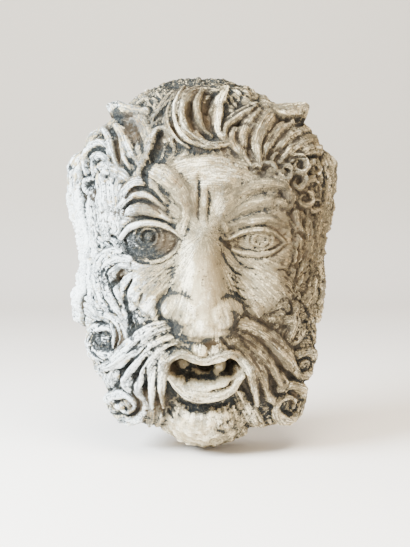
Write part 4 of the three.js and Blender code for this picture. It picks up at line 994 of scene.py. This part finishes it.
@dataclass
class Horns:
    """The two short horns: the left a pointed flap, the right blunt with a knob."""

    slots: Sequence[Slot] = (
        Slot(((-102, 172), (-90, 168), (-76, 169)), 3.6, 1, 1.0),
        Slot(((-98, 162), (-86, 159), (-74, 160)), 2.2, 2.5),
        Slot(((91, 169), (94, 167)), 3.6, 3, 0.8),
        Slot(((98, 159), (104, 157)), 2.4, 3, 0.8),
    )
    left_half_width: float = 7.5
    right_half_width: float = 11
    left_height: float = 16
    right_height: float = 17

    def carve(self, surface: CarvedSurface) -> None:
        """Lays both horns."""
        left = ((-64, 164), (-78, 163, 66), (-90, 163, 50), (-99, 167, 38), (-106, 175, 28))
        right = ((66, 170), (84, 168, 70), (96, 165, 54), (104, 162, 40))
        pointed = Lie(floor=0, moat=1, pitch=0, power=0.8, ends=(1, 0.22), rise=(0.35, 0.9))
        blunt = Lie(floor=0, moat=1, pitch=0, power=0.6, ends=(1, 0.8), rise=(0.45, 1))
        surface.lay(left, self.left_half_width, self.left_height, pointed)
        surface.lay(right, self.right_half_width, self.right_height, blunt)
        surface.bump(104, 165, 8, 9, 5, power=0.7)
        surface.cut(self.slots)


@dataclass(frozen=True)
class Patch:
    """A soft round area of colour: its middle, its radii and how strong it is."""

    x: float
    z: float
    rx: float
    rz: float
    strength: float = 1.0
    turn: float = 0.0

    def cover(self, surface: CarvedSurface) -> np.ndarray:
        """How far each point of the surface lies in the patch, from 0 to strength."""
        c, s = math.cos(math.radians(self.turn)), math.sin(math.radians(self.turn))
        dx, dz = surface.x - self.x, surface.z - self.z
        reach = np.hypot((dx * c + dz * s) / self.rx, (-dx * s + dz * c) / self.rz)
        return self.strength * (1 - ease(0.45, 1.25, reach))


@dataclass
class Weathering:
    """Wear, pits and chips of the stone, and where limewash, soiling and brown staining lie on it, with painted light
    and shade among them: paler on the lit left, darker in hollows and over the shaded right.
    """

    wear_cells: float = 0.6
    rim_cells: float = 7
    plain_rim: Pair = (3, 20)
    rough: float = 0.3
    hair_rough: float = 0.95
    pit_depth: float = 0.9
    # Brown staining; the broad patches over the viewer's right are also painted shade of that side.
    stains_and_shade: Sequence[Patch] = (
        Patch(-8, 160, 24, 24, 0.9),
        Patch(-74, 148, 14, 18, 1.0, -20),
        Patch(-92, 126, 6, 20, 1.0),
        Patch(-62, 63, 20, 7, 1.0),
        Patch(-24, 78, 12, 30, 1.0, 30),
        Patch(-42, 30, 14, 14, 0.9),
        Patch(-90, -6, 9, 10, 0.8),
        Patch(-92, -72, 8, 14, 0.8),
        Patch(-36, -100, 12, 12, 1.0),
        Patch(-77, -147, 8, 14, 0.8),
        Patch(-48, -140, 10, 18, 0.7),
        Patch(-14, 182, 24, 10, 0.7),
        Patch(60, -86, 46, 56, 0.7),
        Patch(100, 30, 40, 90, 0.75),
        Patch(60, 130, 50, 50, 0.6),
        Patch(0, -10, 16, 44, 0.6),
    )
    # Limewash; the broad patches over the viewer's left are also a painted highlight of that side.
    lime_and_light_patches: Sequence[Patch] = (
        Patch(-112, 20, 46, 120, 1.0),
        Patch(-84, -90, 50, 80, 0.95),
        Patch(13, 150, 8, 22, 0.5),
        Patch(-28, 152, 8, 34, 0.9),
        Patch(-22, 6, 9, 40, 0.9),
        Patch(8, -78, 20, 14, 0.9),
        Patch(12, 66, 8, 20, 0.6),
        Patch(0, 104, 46, 22, 0.65),
        Patch(-20, -170, 36, 30, 0.45),
        Patch(37, -102, 8, 12, 1.0),
        Patch(47, -154, 10, 12, 1.0),
    )
    smooth_patches: Sequence[Patch] = (
        Patch(-4, -18, 20, 50),
        Patch(0, -106, 44, 22, 0.8),
        Patch(-18, -178, 38, 24, 0.8),
        Patch(-140, 10, 20, 90, 0.8),
    )
    # Dark patches of soiling and painted shade: in the left eye socket, on the shaded side of the left horn, in deep
    # hollows of hair and beard, in the mouth and over the right side.
    soot_and_shade_patches: Sequence[Patch] = (
        Patch(-64, 25, 30, 18, 1.9),
        Patch(-62, 72, 26, 16, 0.7),
        Patch(-6, 206, 90, 26, 1.1),
        Patch(-87, 160, 10, 10, 1.1),
        Patch(-106, 172, 9, 12, 1.2),
        Patch(-122, 88, 9, 16, 1.1),
        Patch(-103, -10, 10, 16, 1.3),
        Patch(-77, -52, 8, 20, 1.4),
        Patch(-52, 122, 14, 26, 0.7, -20),
        Patch(-110, -80, 18, 20, 1.1),
        Patch(-5, -100, 18, 8, 1.3),
        Patch(27, -103, 5, 12, 0.6),
        Patch(-36, -101, 6, 8, 0.6),
        Patch(96, 20, 34, 100, 0.22),
        Patch(84, -100, 50, 60, 0.2),
    )

    def wear(self, surface: CarvedSurface) -> None:
        """Rubs the carving down a little, most at the edge of the back, and eats pits into it."""
        rim = 1 - ease(*self.plain_rim, surface.depth)
        surface.height = surface.blurred(surface.height, self.wear_cells).astype(np.float32)
        plainer = surface.blurred(surface.height, self.rim_cells) - surface.height
        surface.height += (rim * plainer).astype(np.float32)
        sizes = ((5, 0.9, 0.4), (6, 2.5, 0.7), (7, 7, 1))
        waves = sum(surface.noise(seed, size) * share for seed, size, share in sizes)
        rough = self.rough + (self.hair_rough - self.rough) * (1 - self.skin(surface))
        surface.height += (rough * waves * (1 - 0.8 * rim)).astype(np.float32)
        pits = np.clip(surface.noise(8, 1.1) - 1.5, 0, 1.5)
        surface.height -= (self.pit_depth * pits).astype(np.float32)

    def attributes(self, surface: CarvedSurface) -> dict[str, np.ndarray]:
        """What the stone's finish reads at each point, painted light and shade among it.

        Args:
            surface: The finished carving.

        Returns:
            Values by attribute name: hollow, calm, line, worn, stain, lime and soot.
        """
        height = surface.height
        fine = height - surface.blurred(height, 1.6)
        middle = height - surface.blurred(height, 4)
        deep = height - surface.blurred(height, 10)
        skin = self.skin(surface)
        mouth = Patch(0, -106, 44, 22).cover(surface)
        smooth = self.covered(surface, self.smooth_patches)
        sunk = np.clip((-deep - 2) / 8, 0, 1) * (1 - skin)
        return {
            # Recess depth: soiling and painted shade, darker in the recesses of the carving.
            "hollow": (np.clip((-middle - 0.5) / 2.6, 0, 1) * (1 - 0.4 * skin) + 0.5 * sunk) * (1 - 0.6 * mouth),
            "calm": np.maximum(0.32 * skin, smooth),
            # Fine grooves: painted shade along them, with soiling.
            "line": np.clip(-fine / 0.55, 0, 1),
            # Raised ridges: rubbed, and given a painted highlight.
            "worn_and_lit": np.clip(middle / 2, 0, 1),
            # Brown staining, partly painted shade over the right side.
            "stain_and_shade": self.covered(surface, self.stains_and_shade),
            # Limewash, partly a painted highlight on the left.
            "lime_and_light": self.covered(surface, self.lime_and_light_patches),
            # Darkness in slots and dark patches: soiling and painted shade.
            "soot_and_shade": np.maximum(surface.soot_and_shade, self.covered(surface, self.soot_and_shade_patches)),
        }

    @staticmethod
    def skin(surface: CarvedSurface) -> np.ndarray:
        """1 on the face and nose, 0 in the hair."""
        face = 1 - ease(0.92, 1.08, np.hypot(surface.x / 90, (surface.z - 26) / 92))
        nose = 1 - ease(0.9, 1.1, np.hypot(surface.x / 44, (surface.z + 34) / 34))
        return np.maximum(face, nose)

    @staticmethod
    def covered(surface: CarvedSurface, patches: Sequence[Patch]) -> np.ndarray:
        """How far each point lies in any of the patches."""
        return np.max([patch.cover(surface) for patch in patches], axis=0)


class NodeSheet:
    """Short ways to lay out the shader nodes of one material."""

    def __init__(self, name: str) -> None:
        """Makes an empty node material with its shader and output."""
        self.material = bpy.data.materials.new(name)
        self.material.use_nodes = True
        self.tree = self.material.node_tree
        self.tree.nodes.clear()
        self.shader = self.tree.nodes.new("ShaderNodeBsdfPrincipled")
        output = self.tree.nodes.new("ShaderNodeOutputMaterial")
        self.tree.links.new(self.shader.outputs[0], output.inputs[0])

    def put(self, node: bpy.types.Node, socket: str | int, value: object) -> None:
        """Links a socket to another node's output, or sets it to a plain value."""
        if isinstance(value, bpy.types.NodeSocket):
            self.tree.links.new(value, node.inputs[socket])
        else:
            node.inputs[socket].default_value = value

    def attribute(self, name: str) -> bpy.types.NodeSocket:
        """The value of an attribute of the mesh."""
        node = self.tree.nodes.new("ShaderNodeAttribute")
        node.attribute_name = name
        return node.outputs["Fac"]

    def place(self) -> bpy.types.NodeSocket:
        """The point's place in the object's own coordinates, in metres."""
        return self.tree.nodes.new("ShaderNodeTexCoord").outputs["Object"]

    def streaks(self, name: str, across: float, along: float, detail: float = 3) -> bpy.types.NodeSocket:
        """Noise drawn out along the strands: the attribute of their flow, and its scales a millimetre."""
        flow = self.tree.nodes.new("ShaderNodeAttribute")
        flow.attribute_name = name
        scaled = self.tree.nodes.new("ShaderNodeVectorMath")
        scaled.operation = "MULTIPLY"
        self.put(scaled, 0, flow.outputs["Vector"])
        self.put(scaled, 1, (across, along, 1.0))
        node = self.tree.nodes.new("ShaderNodeTexNoise")
        for socket, value in (("Vector", scaled.outputs[0]), ("Scale", 1.0), ("Detail", detail)):
            self.put(node, socket, value)
        return node.outputs["Fac"]

    def noise(self, scale: float, detail: float = 3, roughness: float = 0.6) -> bpy.types.NodeSocket:
        """Cloudy noise, with scale in blotches a metre."""
        node = self.tree.nodes.new("ShaderNodeTexNoise")
        self.put(node, "Vector", self.place())
        self.put(node, "Scale", scale)
        self.put(node, "Detail", detail)
        self.put(node, "Roughness", roughness)
        return node.outputs["Fac"]

    def cells(self, scale: float) -> bpy.types.ShaderNodeTexVoronoi:
        """Rounded cells, with scale in cells a metre."""
        node = self.tree.nodes.new("ShaderNodeTexVoronoi")
        self.put(node, "Vector", self.place())
        self.put(node, "Scale", scale)
        return node

    def math(self, operation: str, a: object, b: object = 0.0, c: object = 0.0) -> bpy.types.NodeSocket:
        """One sum on values."""
        node = self.tree.nodes.new("ShaderNodeMath")
        node.operation = operation
        for index, value in enumerate((a, b, c)):
            self.put(node, index, value)
        return node.outputs[0]

    def total(self, *shares: tuple[object, float]) -> bpy.types.NodeSocket:
        """The sum of values, each times its share."""
        result = 0.0
        for value, share in shares:
            result = self.math("MULTIPLY_ADD", value, share, result)
        return result

    def eased_off(self, noise: object, share: object) -> bpy.types.NodeSocket:
        """Noise about its middle value, kept by a share."""
        return self.math("MULTIPLY_ADD", self.math("SUBTRACT", noise, 0.5), share, 0.5)

    def step(self, value: object, start: float, end: float) -> bpy.types.NodeSocket:
        """Goes smoothly from 0 at start to 1 at end."""
        node = self.tree.nodes.new("ShaderNodeMapRange")
        node.interpolation_type = "SMOOTHSTEP"
        for socket, item in (("Value", value), ("From Min", start), ("From Max", end)):
            self.put(node, socket, item)
        return node.outputs[0]

    def blend(self, share: object, under: object, over: object) -> bpy.types.NodeSocket:
        """Two colours mixed by a share."""
        node = self.tree.nodes.new("ShaderNodeMix")
        node.data_type = "RGBA"
        for socket, value in ((0, share), (6, under), (7, over)):
            self.put(node, socket, value)
        return node.outputs[2]

    def bump(self, height: object, distance: float) -> bpy.types.NodeSocket:
        """A bumped normal."""
        node = self.tree.nodes.new("ShaderNodeBump")
        self.put(node, "Height", height)
        self.put(node, "Distance", distance)
        return node.outputs[0]


Colour = tuple[float, float, float, float]


@dataclass(frozen=True)
class WeatheredStone:
    """Cast stone with rubbed limewash, brown staining and dark soiling in its hollows and pits, and painted light and
    shade: colours tinted bluish on the viewer's left and warm on the right, darker in hollows, grooves and over the
    right side, paler on ridges and on the left.
    """

    cream: Colour = (0.78, 0.66, 0.42, 1)
    tan: Colour = (0.35, 0.265, 0.14, 1)
    ochre: Colour = (0.23, 0.15, 0.07, 1)
    # Limewash as lit by the bluish key on the viewer's left and by the warm fill on the right: painted light.
    lime_and_light: Colour = (0.85, 0.89, 0.88, 1)
    warm_lit_lime: Colour = (0.93, 0.83, 0.60, 1)
    # The dark film colour as lit on the warm right and on the bluish left: painted light.
    lit_patina: Colour = (0.085, 0.072, 0.046, 1)
    cool_lit_patina: Colour = (0.11, 0.125, 0.125, 1)
    # Near-black soiling, also laid as painted shade in hollows, fine grooves and slots.
    dirt_and_shade: Colour = (0.015, 0.017, 0.017, 1)
    brown_dirt_and_shade: Colour = (0.08, 0.056, 0.032, 1)
    back: Colour = (0.40, 0.36, 0.28, 1)
    back_stain: Colour = (0.22, 0.19, 0.14, 1)
    # Painted light: the span of X, in metres, over which colours turn from warm-lit on the right to bluish-lit on the
    # left.
    painted_light_span: Pair = (-0.02, -0.09)
    back_depth: Pair = (-0.0016, -0.0006)
    roughness: float = 0.93
    specular: float = 0.22

    def material(self) -> bpy.types.Material:
        """Lays out the finish.

        Returns:
            The material.
        """
        sheet = NodeSheet("weathered_cast_stone")
        hollow, line, worn_and_lit, calm = (sheet.attribute(name) for name in ("hollow", "line", "worn_and_lit", "calm"))
        stain_and_shade, lime_and_light, soot_and_shade = (sheet.attribute(name) for name in ("stain_and_shade", "lime_and_light", "soot_and_shade"))
        broad, medium, fine = sheet.noise(14), sheet.noise(70, 5, 0.65), sheet.noise(330, 4, 0.7)
        mottle, tiny = sheet.noise(160, 4, 0.65), sheet.noise(620, 3, 0.7)
        lively = sheet.math("MULTIPLY_ADD", calm, -0.85, 1.0)
        streak = sheet.eased_off(sheet.streaks("flow", 0.42, 0.055), lively)
        thread = sheet.eased_off(sheet.streaks("flow", 0.9, 0.09), lively)
        cover = sheet.math("MULTIPLY_ADD", sheet.noise(420, 4, 0.75), -1.5, 1.72)
        sand = fine
        mottle = sheet.eased_off(mottle, lively)
        fine = sheet.eased_off(fine, lively)
        ground = sheet.blend(sheet.step(broad, 0.36, 0.64), self.cream, self.tan)
        ground = sheet.blend(sheet.step(streak, 0.42, 0.62), ground, self.tan)
        # Ochre staining, partly painted shade where its broad patches lie over the right side.
        stained_and_shaded = sheet.math("MULTIPLY", stain_and_shade, sheet.step(medium, 0.36, 0.6))
        ground = sheet.blend(stained_and_shaded, ground, self.ochre)
        # Limewash cover: paler on ridges and on the lit left, as painted highlight with the limewash, and less in
        # hollows.
        wash_and_light = sheet.total(
            (lime_and_light, 0.7), (worn_and_lit, 0.5), (medium, 1.2), (mottle, 1.8), (fine, 1.1), (streak, 1.4), (stain_and_shade, -0.4),
            (hollow, -0.3),
        )
        split = sheet.tree.nodes.new("ShaderNodeSeparateXYZ")
        sheet.put(split, 0, sheet.place())
        # Painted light: bluish colours on the viewer's left, warm ones on the right, by place across the object.
        cool_lit_side = sheet.step(split.outputs["X"], *self.painted_light_span)
        washed_and_lit = sheet.blend(sheet.step(wash_and_light, 3.0, 3.4), ground, sheet.blend(cool_lit_side, self.warm_lit_lime, self.lime_and_light))
        # Dark soiling with painted shade, heaviest in hollows, fine grooves and slots.
        grime_and_shade = sheet.total(
            (hollow, 0.8), (line, 0.7), (soot_and_shade, 0.75), (medium, 1.1), (mottle, 2.2), (fine, 1.9), (thread, 2.2),
            (tiny, 1.4), (lime_and_light, -0.1), (worn_and_lit, -0.5), (calm, -0.4),
        )
        brown = sheet.math("MAXIMUM", sheet.math("MULTIPLY", stain_and_shade, 0.9), sheet.step(broad, 0.56, 0.66))
        hair_line = sheet.eased_off(sheet.streaks("flow", 0.62, 0.035, 2), lively)
        film = sheet.total(
            (hair_line, 1.5), (thread, 1.2), (tiny, 1.5), (fine, 0.9), (mottle, 0.9), (hollow, 0.3), (stain_and_shade, 0.16),
            (lime_and_light, -0.2), (worn_and_lit, -0.2),
        )
        film = sheet.math("MULTIPLY", sheet.step(film, 2.62, 3.0), sheet.math("MULTIPLY_ADD", calm, -0.4, 0.85))
        lit_patina = sheet.blend(cool_lit_side, self.lit_patina, self.cool_lit_patina)
        washed_and_lit = sheet.blend(film, washed_and_lit, lit_patina)
        dirt_and_shade = sheet.blend(brown, self.dirt_and_shade, self.brown_dirt_and_shade)
        caked_and_shaded = sheet.math("MULTIPLY", sheet.step(grime_and_shade, 4.55, 5.1), cover)
        dirty_and_shaded = sheet.blend(caked_and_shaded, washed_and_lit, dirt_and_shade)
        pits = sheet.cells(330)
        small = sheet.step(pits.outputs["Distance"], 0.34, 0.18)
        sparse = sheet.step(sheet.noise(40, 3), 0.5, 0.62)
        flecks = sheet.math("MULTIPLY", sheet.step(fine, 0.58, 0.68), sparse)
        specks = sheet.math("MAXIMUM", sheet.math("MULTIPLY", small, sparse), flecks)
        final = sheet.blend(sheet.math("MULTIPLY", specks, 0.75), dirty_and_shaded, dirt_and_shade)
        behind = sheet.step(split.outputs["Y"], *self.back_depth)
        cast = sheet.total((broad, 0.9), (medium, 0.6), (sand, 0.5))
        plain = sheet.blend(sheet.step(cast, 0.9, 1.25), self.back, self.back_stain)
        final = sheet.blend(behind, final, plain)
        relief = sheet.total(
            (fine, 1.0), (tiny, 0.6), (specks, -1.0), (thread, -2.4), (hair_line, -2.4), (streak, -1.6),
        )
        carved = sheet.math("MULTIPLY", relief, sheet.math("SUBTRACT", 1.0, behind))
        relief = sheet.math("MULTIPLY_ADD", sand, behind, carved)
        sheet.put(sheet.shader, "Base Color", final)
        sheet.put(sheet.shader, "Roughness", self.roughness)
        sheet.put(sheet.shader, "Specular IOR Level", self.specular)
        sheet.put(sheet.shader, "Normal", sheet.bump(relief, 0.0009))
        return sheet.material


@dataclass(frozen=True)
class PalePaper:
    """The plain backdrop's matt finish, with painted light: paler towards the floor, darker up the wall."""

    upper: Colour = (0.86, 0.795, 0.70, 1)
    lower: Colour = (0.99, 0.93, 0.865, 1)
    painted_light_fade: Pair = (-0.18, 0.1)
    roughness: float = 0.95

    def material(self) -> bpy.types.Material:
        """Lays out the finish."""
        sheet = NodeSheet("pale_paper")
        split = sheet.tree.nodes.new("ShaderNodeSeparateXYZ")
        sheet.put(split, 0, sheet.place())
        # Painted light: the colour is paler low down and darker higher up.
        height = sheet.step(split.outputs["Z"], *self.painted_light_fade)
        sheet.put(sheet.shader, "Base Color", sheet.blend(height, self.lower, self.upper))
        sheet.put(sheet.shader, "Roughness", self.roughness)
        return sheet.material


@dataclass
class MaskCasting:
    """The whole head, cast in one piece with a flat back and a bore for the water pipe."""

    columns: int = 400
    rows: int = 560
    triangles: int = 186000
    bore_diameter: float = 22
    bore_x: float = 0
    bore_z: float = -99
    bore_depth: float = 92
    bore_sides: int = 48
    dome: Dome = field(default_factory=Dome)
    weathering: Weathering = field(default_factory=Weathering)
    finish: WeatheredStone = WeatheredStone()

    def carvings(self) -> list[object]:
        """The parts of the carving, in the order they are laid."""
        return [
            Skull(), Ears(), Nose(), Eyes(), Frown(), Mouth(), Crown(), LeftHair(), Forelock(), RightHair(),
            Beard(), Moustache(), Horns(),
        ]

    def build(self) -> bpy.types.Object:
        """Carves, closes and bores the casting, and dresses it.

        Returns:
            The object, in the place of the node mask.
        """
        mesh = self.grid()
        self.carve(mesh)
        self.close_back(mesh)
        casting = bpy.data.objects.new("mask_casting", mesh)
        bpy.context.collection.objects.link(casting)
        self.bore(casting)
        casting.data.materials.append(self.finish.material())
        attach(casting, "root")
        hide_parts("mask")
        return casting

    def grid(self) -> bpy.types.Mesh:
        """A flat square grid of the right fineness."""
        bm = bmesh.new()
        bmesh.ops.create_grid(bm, x_segments=self.columns - 1, y_segments=self.rows - 1, size=1)
        mesh = bpy.data.meshes.new("mask_casting")
        bm.to_mesh(mesh)
        bm.free()
        return mesh

    def carve(self, mesh: bpy.types.Mesh) -> None:
        """Wraps the grid over the dome, carves it, and keeps what the finish reads.

        Args:
            mesh: The flat grid, which is changed.
        """
        flat = np.zeros(len(mesh.vertices) * 3, np.float32)
        mesh.vertices.foreach_get("co", flat)
        flat = flat.reshape(-1, 3).round(6)
        order = np.lexsort((flat[:, 0], flat[:, 1]))
        rows = len(np.unique(flat[:, 1]))
        u = flat[order, 0].reshape(rows, -1).astype(np.float64)
        v = flat[order, 1].reshape(rows, -1).astype(np.float64)
        surface = CarvedSurface(self.dome, u, v)
        for carving in self.carvings():
            carving.carve(surface)
            LOG.info("carved %s", type(carving).__name__)
        self.weathering.wear(surface)
        carved = surface.placed()
        place = np.zeros_like(flat)
        place[order] = np.stack([carved[:, 0], -carved[:, 2], carved[:, 1]], -1) * MILLIMETRE
        mesh.vertices.foreach_set("co", place.ravel())
        for name, values in self.weathering.attributes(surface).items():
            layer = mesh.attributes.new(name, "FLOAT", "POINT")
            laid = np.zeros(len(values), np.float32)
            laid[order] = values
            layer.data.foreach_set("value", laid)
        layer = mesh.attributes.new("flow", "FLOAT_VECTOR", "POINT")
        laid = np.zeros_like(surface.flow)
        laid[order] = surface.flow
        layer.data.foreach_set("vector", laid.ravel())
        mesh.update()

    def close_back(self, mesh: bpy.types.Mesh) -> None:
        """Cuts off the grid's flat corners, fills the back, and keeps its edge crisp."""
        bm = bmesh.new()
        bm.from_mesh(mesh)
        corners = [vert for vert in bm.verts if len(vert.link_edges) == 2]
        for corner in corners:
            beside = [edge.other_vert(corner) for edge in corner.link_edges]
            bmesh.utils.face_split(corner.link_faces[0], *beside)
        bmesh.ops.delete(bm, geom=corners, context="VERTS")
        for face in bm.faces:
            face.smooth = True
        rim = [edge for edge in bm.edges if edge.is_boundary]
        back = bmesh.ops.edgeloop_fill(bm, edges=rim)["faces"]
        for face in back:
            face.smooth = False
        for edge in rim:
            edge.smooth = False
        bmesh.ops.triangulate(bm, faces=bm.faces[:])
        bmesh.ops.recalc_face_normals(bm, faces=bm.faces[:])
        bm.to_mesh(mesh)
        bm.free()

    def bore(self, casting: bpy.types.Object) -> None:
        """Thins the mesh to its limit and cuts the bore for the pipe.

        Args:
            casting: The object, whose mesh is replaced by the finished one.
        """
        bm = bmesh.new()
        spin = bmesh.ops.create_cone(
            bm, cap_ends=True, segments=self.bore_sides, radius1=self.bore_diameter / 2 * MILLIMETRE,
            radius2=self.bore_diameter / 2 * MILLIMETRE, depth=(self.bore_depth + 6) * MILLIMETRE,
        )
        turn = Vector((0, 0, 1)).rotation_difference(Vector((0, 1, 0))).to_matrix()
        bmesh.ops.rotate(bm, cent=(0, 0, 0), matrix=turn, verts=spin["verts"])
        middle = Vector((self.bore_x, (6 - self.bore_depth) / 2, self.bore_z)) * MILLIMETRE
        bmesh.ops.translate(bm, vec=middle, verts=spin["verts"])
        mesh = bpy.data.meshes.new("pipe_bore")
        bm.to_mesh(mesh)
        bm.free()
        # The bore's walls read full recess depth: soiling and painted shade inside the hole.
        layer = mesh.attributes.new("hollow", "FLOAT", "POINT")
        layer.data.foreach_set("value", np.ones(len(mesh.vertices), np.float32))
        cutter = bpy.data.objects.new("pipe_bore", mesh)
        bpy.context.collection.objects.link(cutter)
        thin = casting.modifiers.new("thin", "DECIMATE")
        thin.ratio = self.triangles / len(casting.data.polygons)
        cut = casting.modifiers.new("bore", "BOOLEAN")
        cut.operation = "DIFFERENCE"
        cut.object = cutter
        graph = bpy.context.evaluated_depsgraph_get()
        finished = bpy.data.meshes.new_from_object(casting.evaluated_get(graph))
        casting.modifiers.clear()
        rough = casting.data
        casting.data = finished
        bpy.data.meshes.remove(rough)
        bpy.data.objects.remove(cutter)
        bpy.data.meshes.remove(mesh)
        finished.name = "mask_casting"
        LOG.info("casting has %d triangles", sum(len(p.vertices) - 2 for p in finished.polygons))


@dataclass
class Backdrop:
    """A pale floor that curves up to a wall far behind the mask."""

    floor_z: float = -0.2045
    front: float = -4.0
    back: float = 2.4
    half_width: float = 4.0
    height: float = 3.0
    bend: float = 1.0
    finish: PalePaper = PalePaper()

    def build(self) -> bpy.types.Object:
        """Sweeps the floor's profile sideways.

        Returns:
            The backdrop object.
        """
        bm = bmesh.new()
        count = 24
        profile = [(self.front, self.floor_z)]
        for i in range(count + 1):
            a = math.pi / 2 * i / count
            profile.append((self.back - self.bend * (1 - math.sin(a)), self.floor_z + self.bend * (1 - math.cos(a))))
        profile.append((self.back, self.floor_z + self.height))
        verts = [bm.verts.new((-self.half_width, y, z)) for y, z in profile]
        edges = [bm.edges.new(pair) for pair in zip(verts, verts[1:])]
        swept = bmesh.ops.extrude_edge_only(bm, edges=edges)["geom"]
        moved = [item for item in swept if isinstance(item, bmesh.types.BMVert)]
        bmesh.ops.translate(bm, vec=(2 * self.half_width, 0, 0), verts=moved)
        for face in bm.faces:
            face.smooth = True
        mesh = bpy.data.meshes.new("backdrop")
        bm.to_mesh(mesh)
        bm.free()
        backdrop = bpy.data.objects.new("backdrop", mesh)
        bpy.context.collection.objects.link(backdrop)
        mesh.materials.append(self.finish.material())
        return backdrop


@dataclass(frozen=True)
class SoftBox:
    """One soft studio light: where it stands, how large and bright it is, and its colour."""

    name: str
    place: tuple[float, float, float]
    aim: tuple[float, float, float]
    size: float
    power: float
    colour: tuple[float, float, float]

    def build(self) -> None:
        """Stands the light and turns it to its aim."""
        data = bpy.data.lights.new(self.name, "AREA")
        data.shape = "DISK"
        data.size = self.size
        data.energy = self.power
        data.color = self.colour
        light = bpy.data.objects.new(self.name, data)
        bpy.context.collection.objects.link(light)
        light.location = self.place
        aim = Vector(self.aim) - Vector(self.place)
        light.rotation_euler = aim.to_track_quat("-Z", "Y").to_euler()


@dataclass
class Studio:
    """The lights and the room's own soft light."""

    boxes: Sequence[SoftBox] = (
        SoftBox("cool_key", (-1.15, -0.8, 0.75), (0, -0.05, 0), 0.8, 155, (0.80, 0.91, 1.0)),
        SoftBox("warm_fill", (1.3, -1.1, 0.35), (0, -0.05, 0), 1.0, 12, (1.0, 0.82, 0.60)),
        SoftBox("top", (0.1, -0.9, 1.6), (0, -0.4, 0), 1.2, 70, (1.0, 0.91, 0.76)),
    )
    room_colour: Colour = (1.0, 0.95, 0.89, 1)
    room_strength: float = 0.7

    def build(self) -> None:
        """Stands the lights and sets the world."""
        for box in self.boxes:
            box.build()
        world = bpy.data.worlds.new("soft_room")
        world.use_nodes = True
        background = world.node_tree.nodes["Background"]
        background.inputs["Color"].default_value = self.room_colour
        background.inputs["Strength"].default_value = self.room_strength
        bpy.context.scene.world = world


@dataclass
class PhotoCamera:
    """The camera at the photograph's angle, with the origin at its place in the picture."""

    azimuth: float = -3
    elevation: float = 4
    distance: float = 1.3
    millimetres_a_pixel: float = 1.09
    sharp_depth: float = 0.05
    origin_px: Pair = (201.5, 262.9)
    sensor: float = 36

    def build(self) -> None:
        """Stands the camera and makes it the scene's."""
        a, e = math.radians(self.azimuth), math.radians(self.elevation)
        back = Vector((math.sin(a) * math.cos(e), -math.cos(a) * math.cos(e), math.sin(e)))
        focal_px = (self.distance - self.sharp_depth) / MILLIMETRE / self.millimetres_a_pixel
        data = bpy.data.cameras.new("camera")
        data.sensor_width = self.sensor
        data.lens = focal_px * self.sensor / PHOTO_HEIGHT
        data.shift_x = (PHOTO_WIDTH / 2 - self.origin_px[0]) / PHOTO_HEIGHT
        data.shift_y = (self.origin_px[1] - PHOTO_HEIGHT / 2) / PHOTO_HEIGHT
        camera = bpy.data.objects.new("camera", data)
        bpy.context.collection.objects.link(camera)
        camera.location = back * self.distance
        camera.rotation_mode = "QUATERNION"
        camera.rotation_quaternion = (-back).to_track_quat("-Z", "Y")
        bpy.context.scene.camera = camera


def main() -> None:
    """Builds the casting, the backdrop, the lights and the camera."""
    logging.basicConfig(level=logging.INFO, format="%(message)s")
    casting = MaskCasting().build()
    LOG.info("built %s", casting.name)
    Backdrop().build()
    Studio().build()
    PhotoCamera().build()


if __name__ == "__main__":
    main()
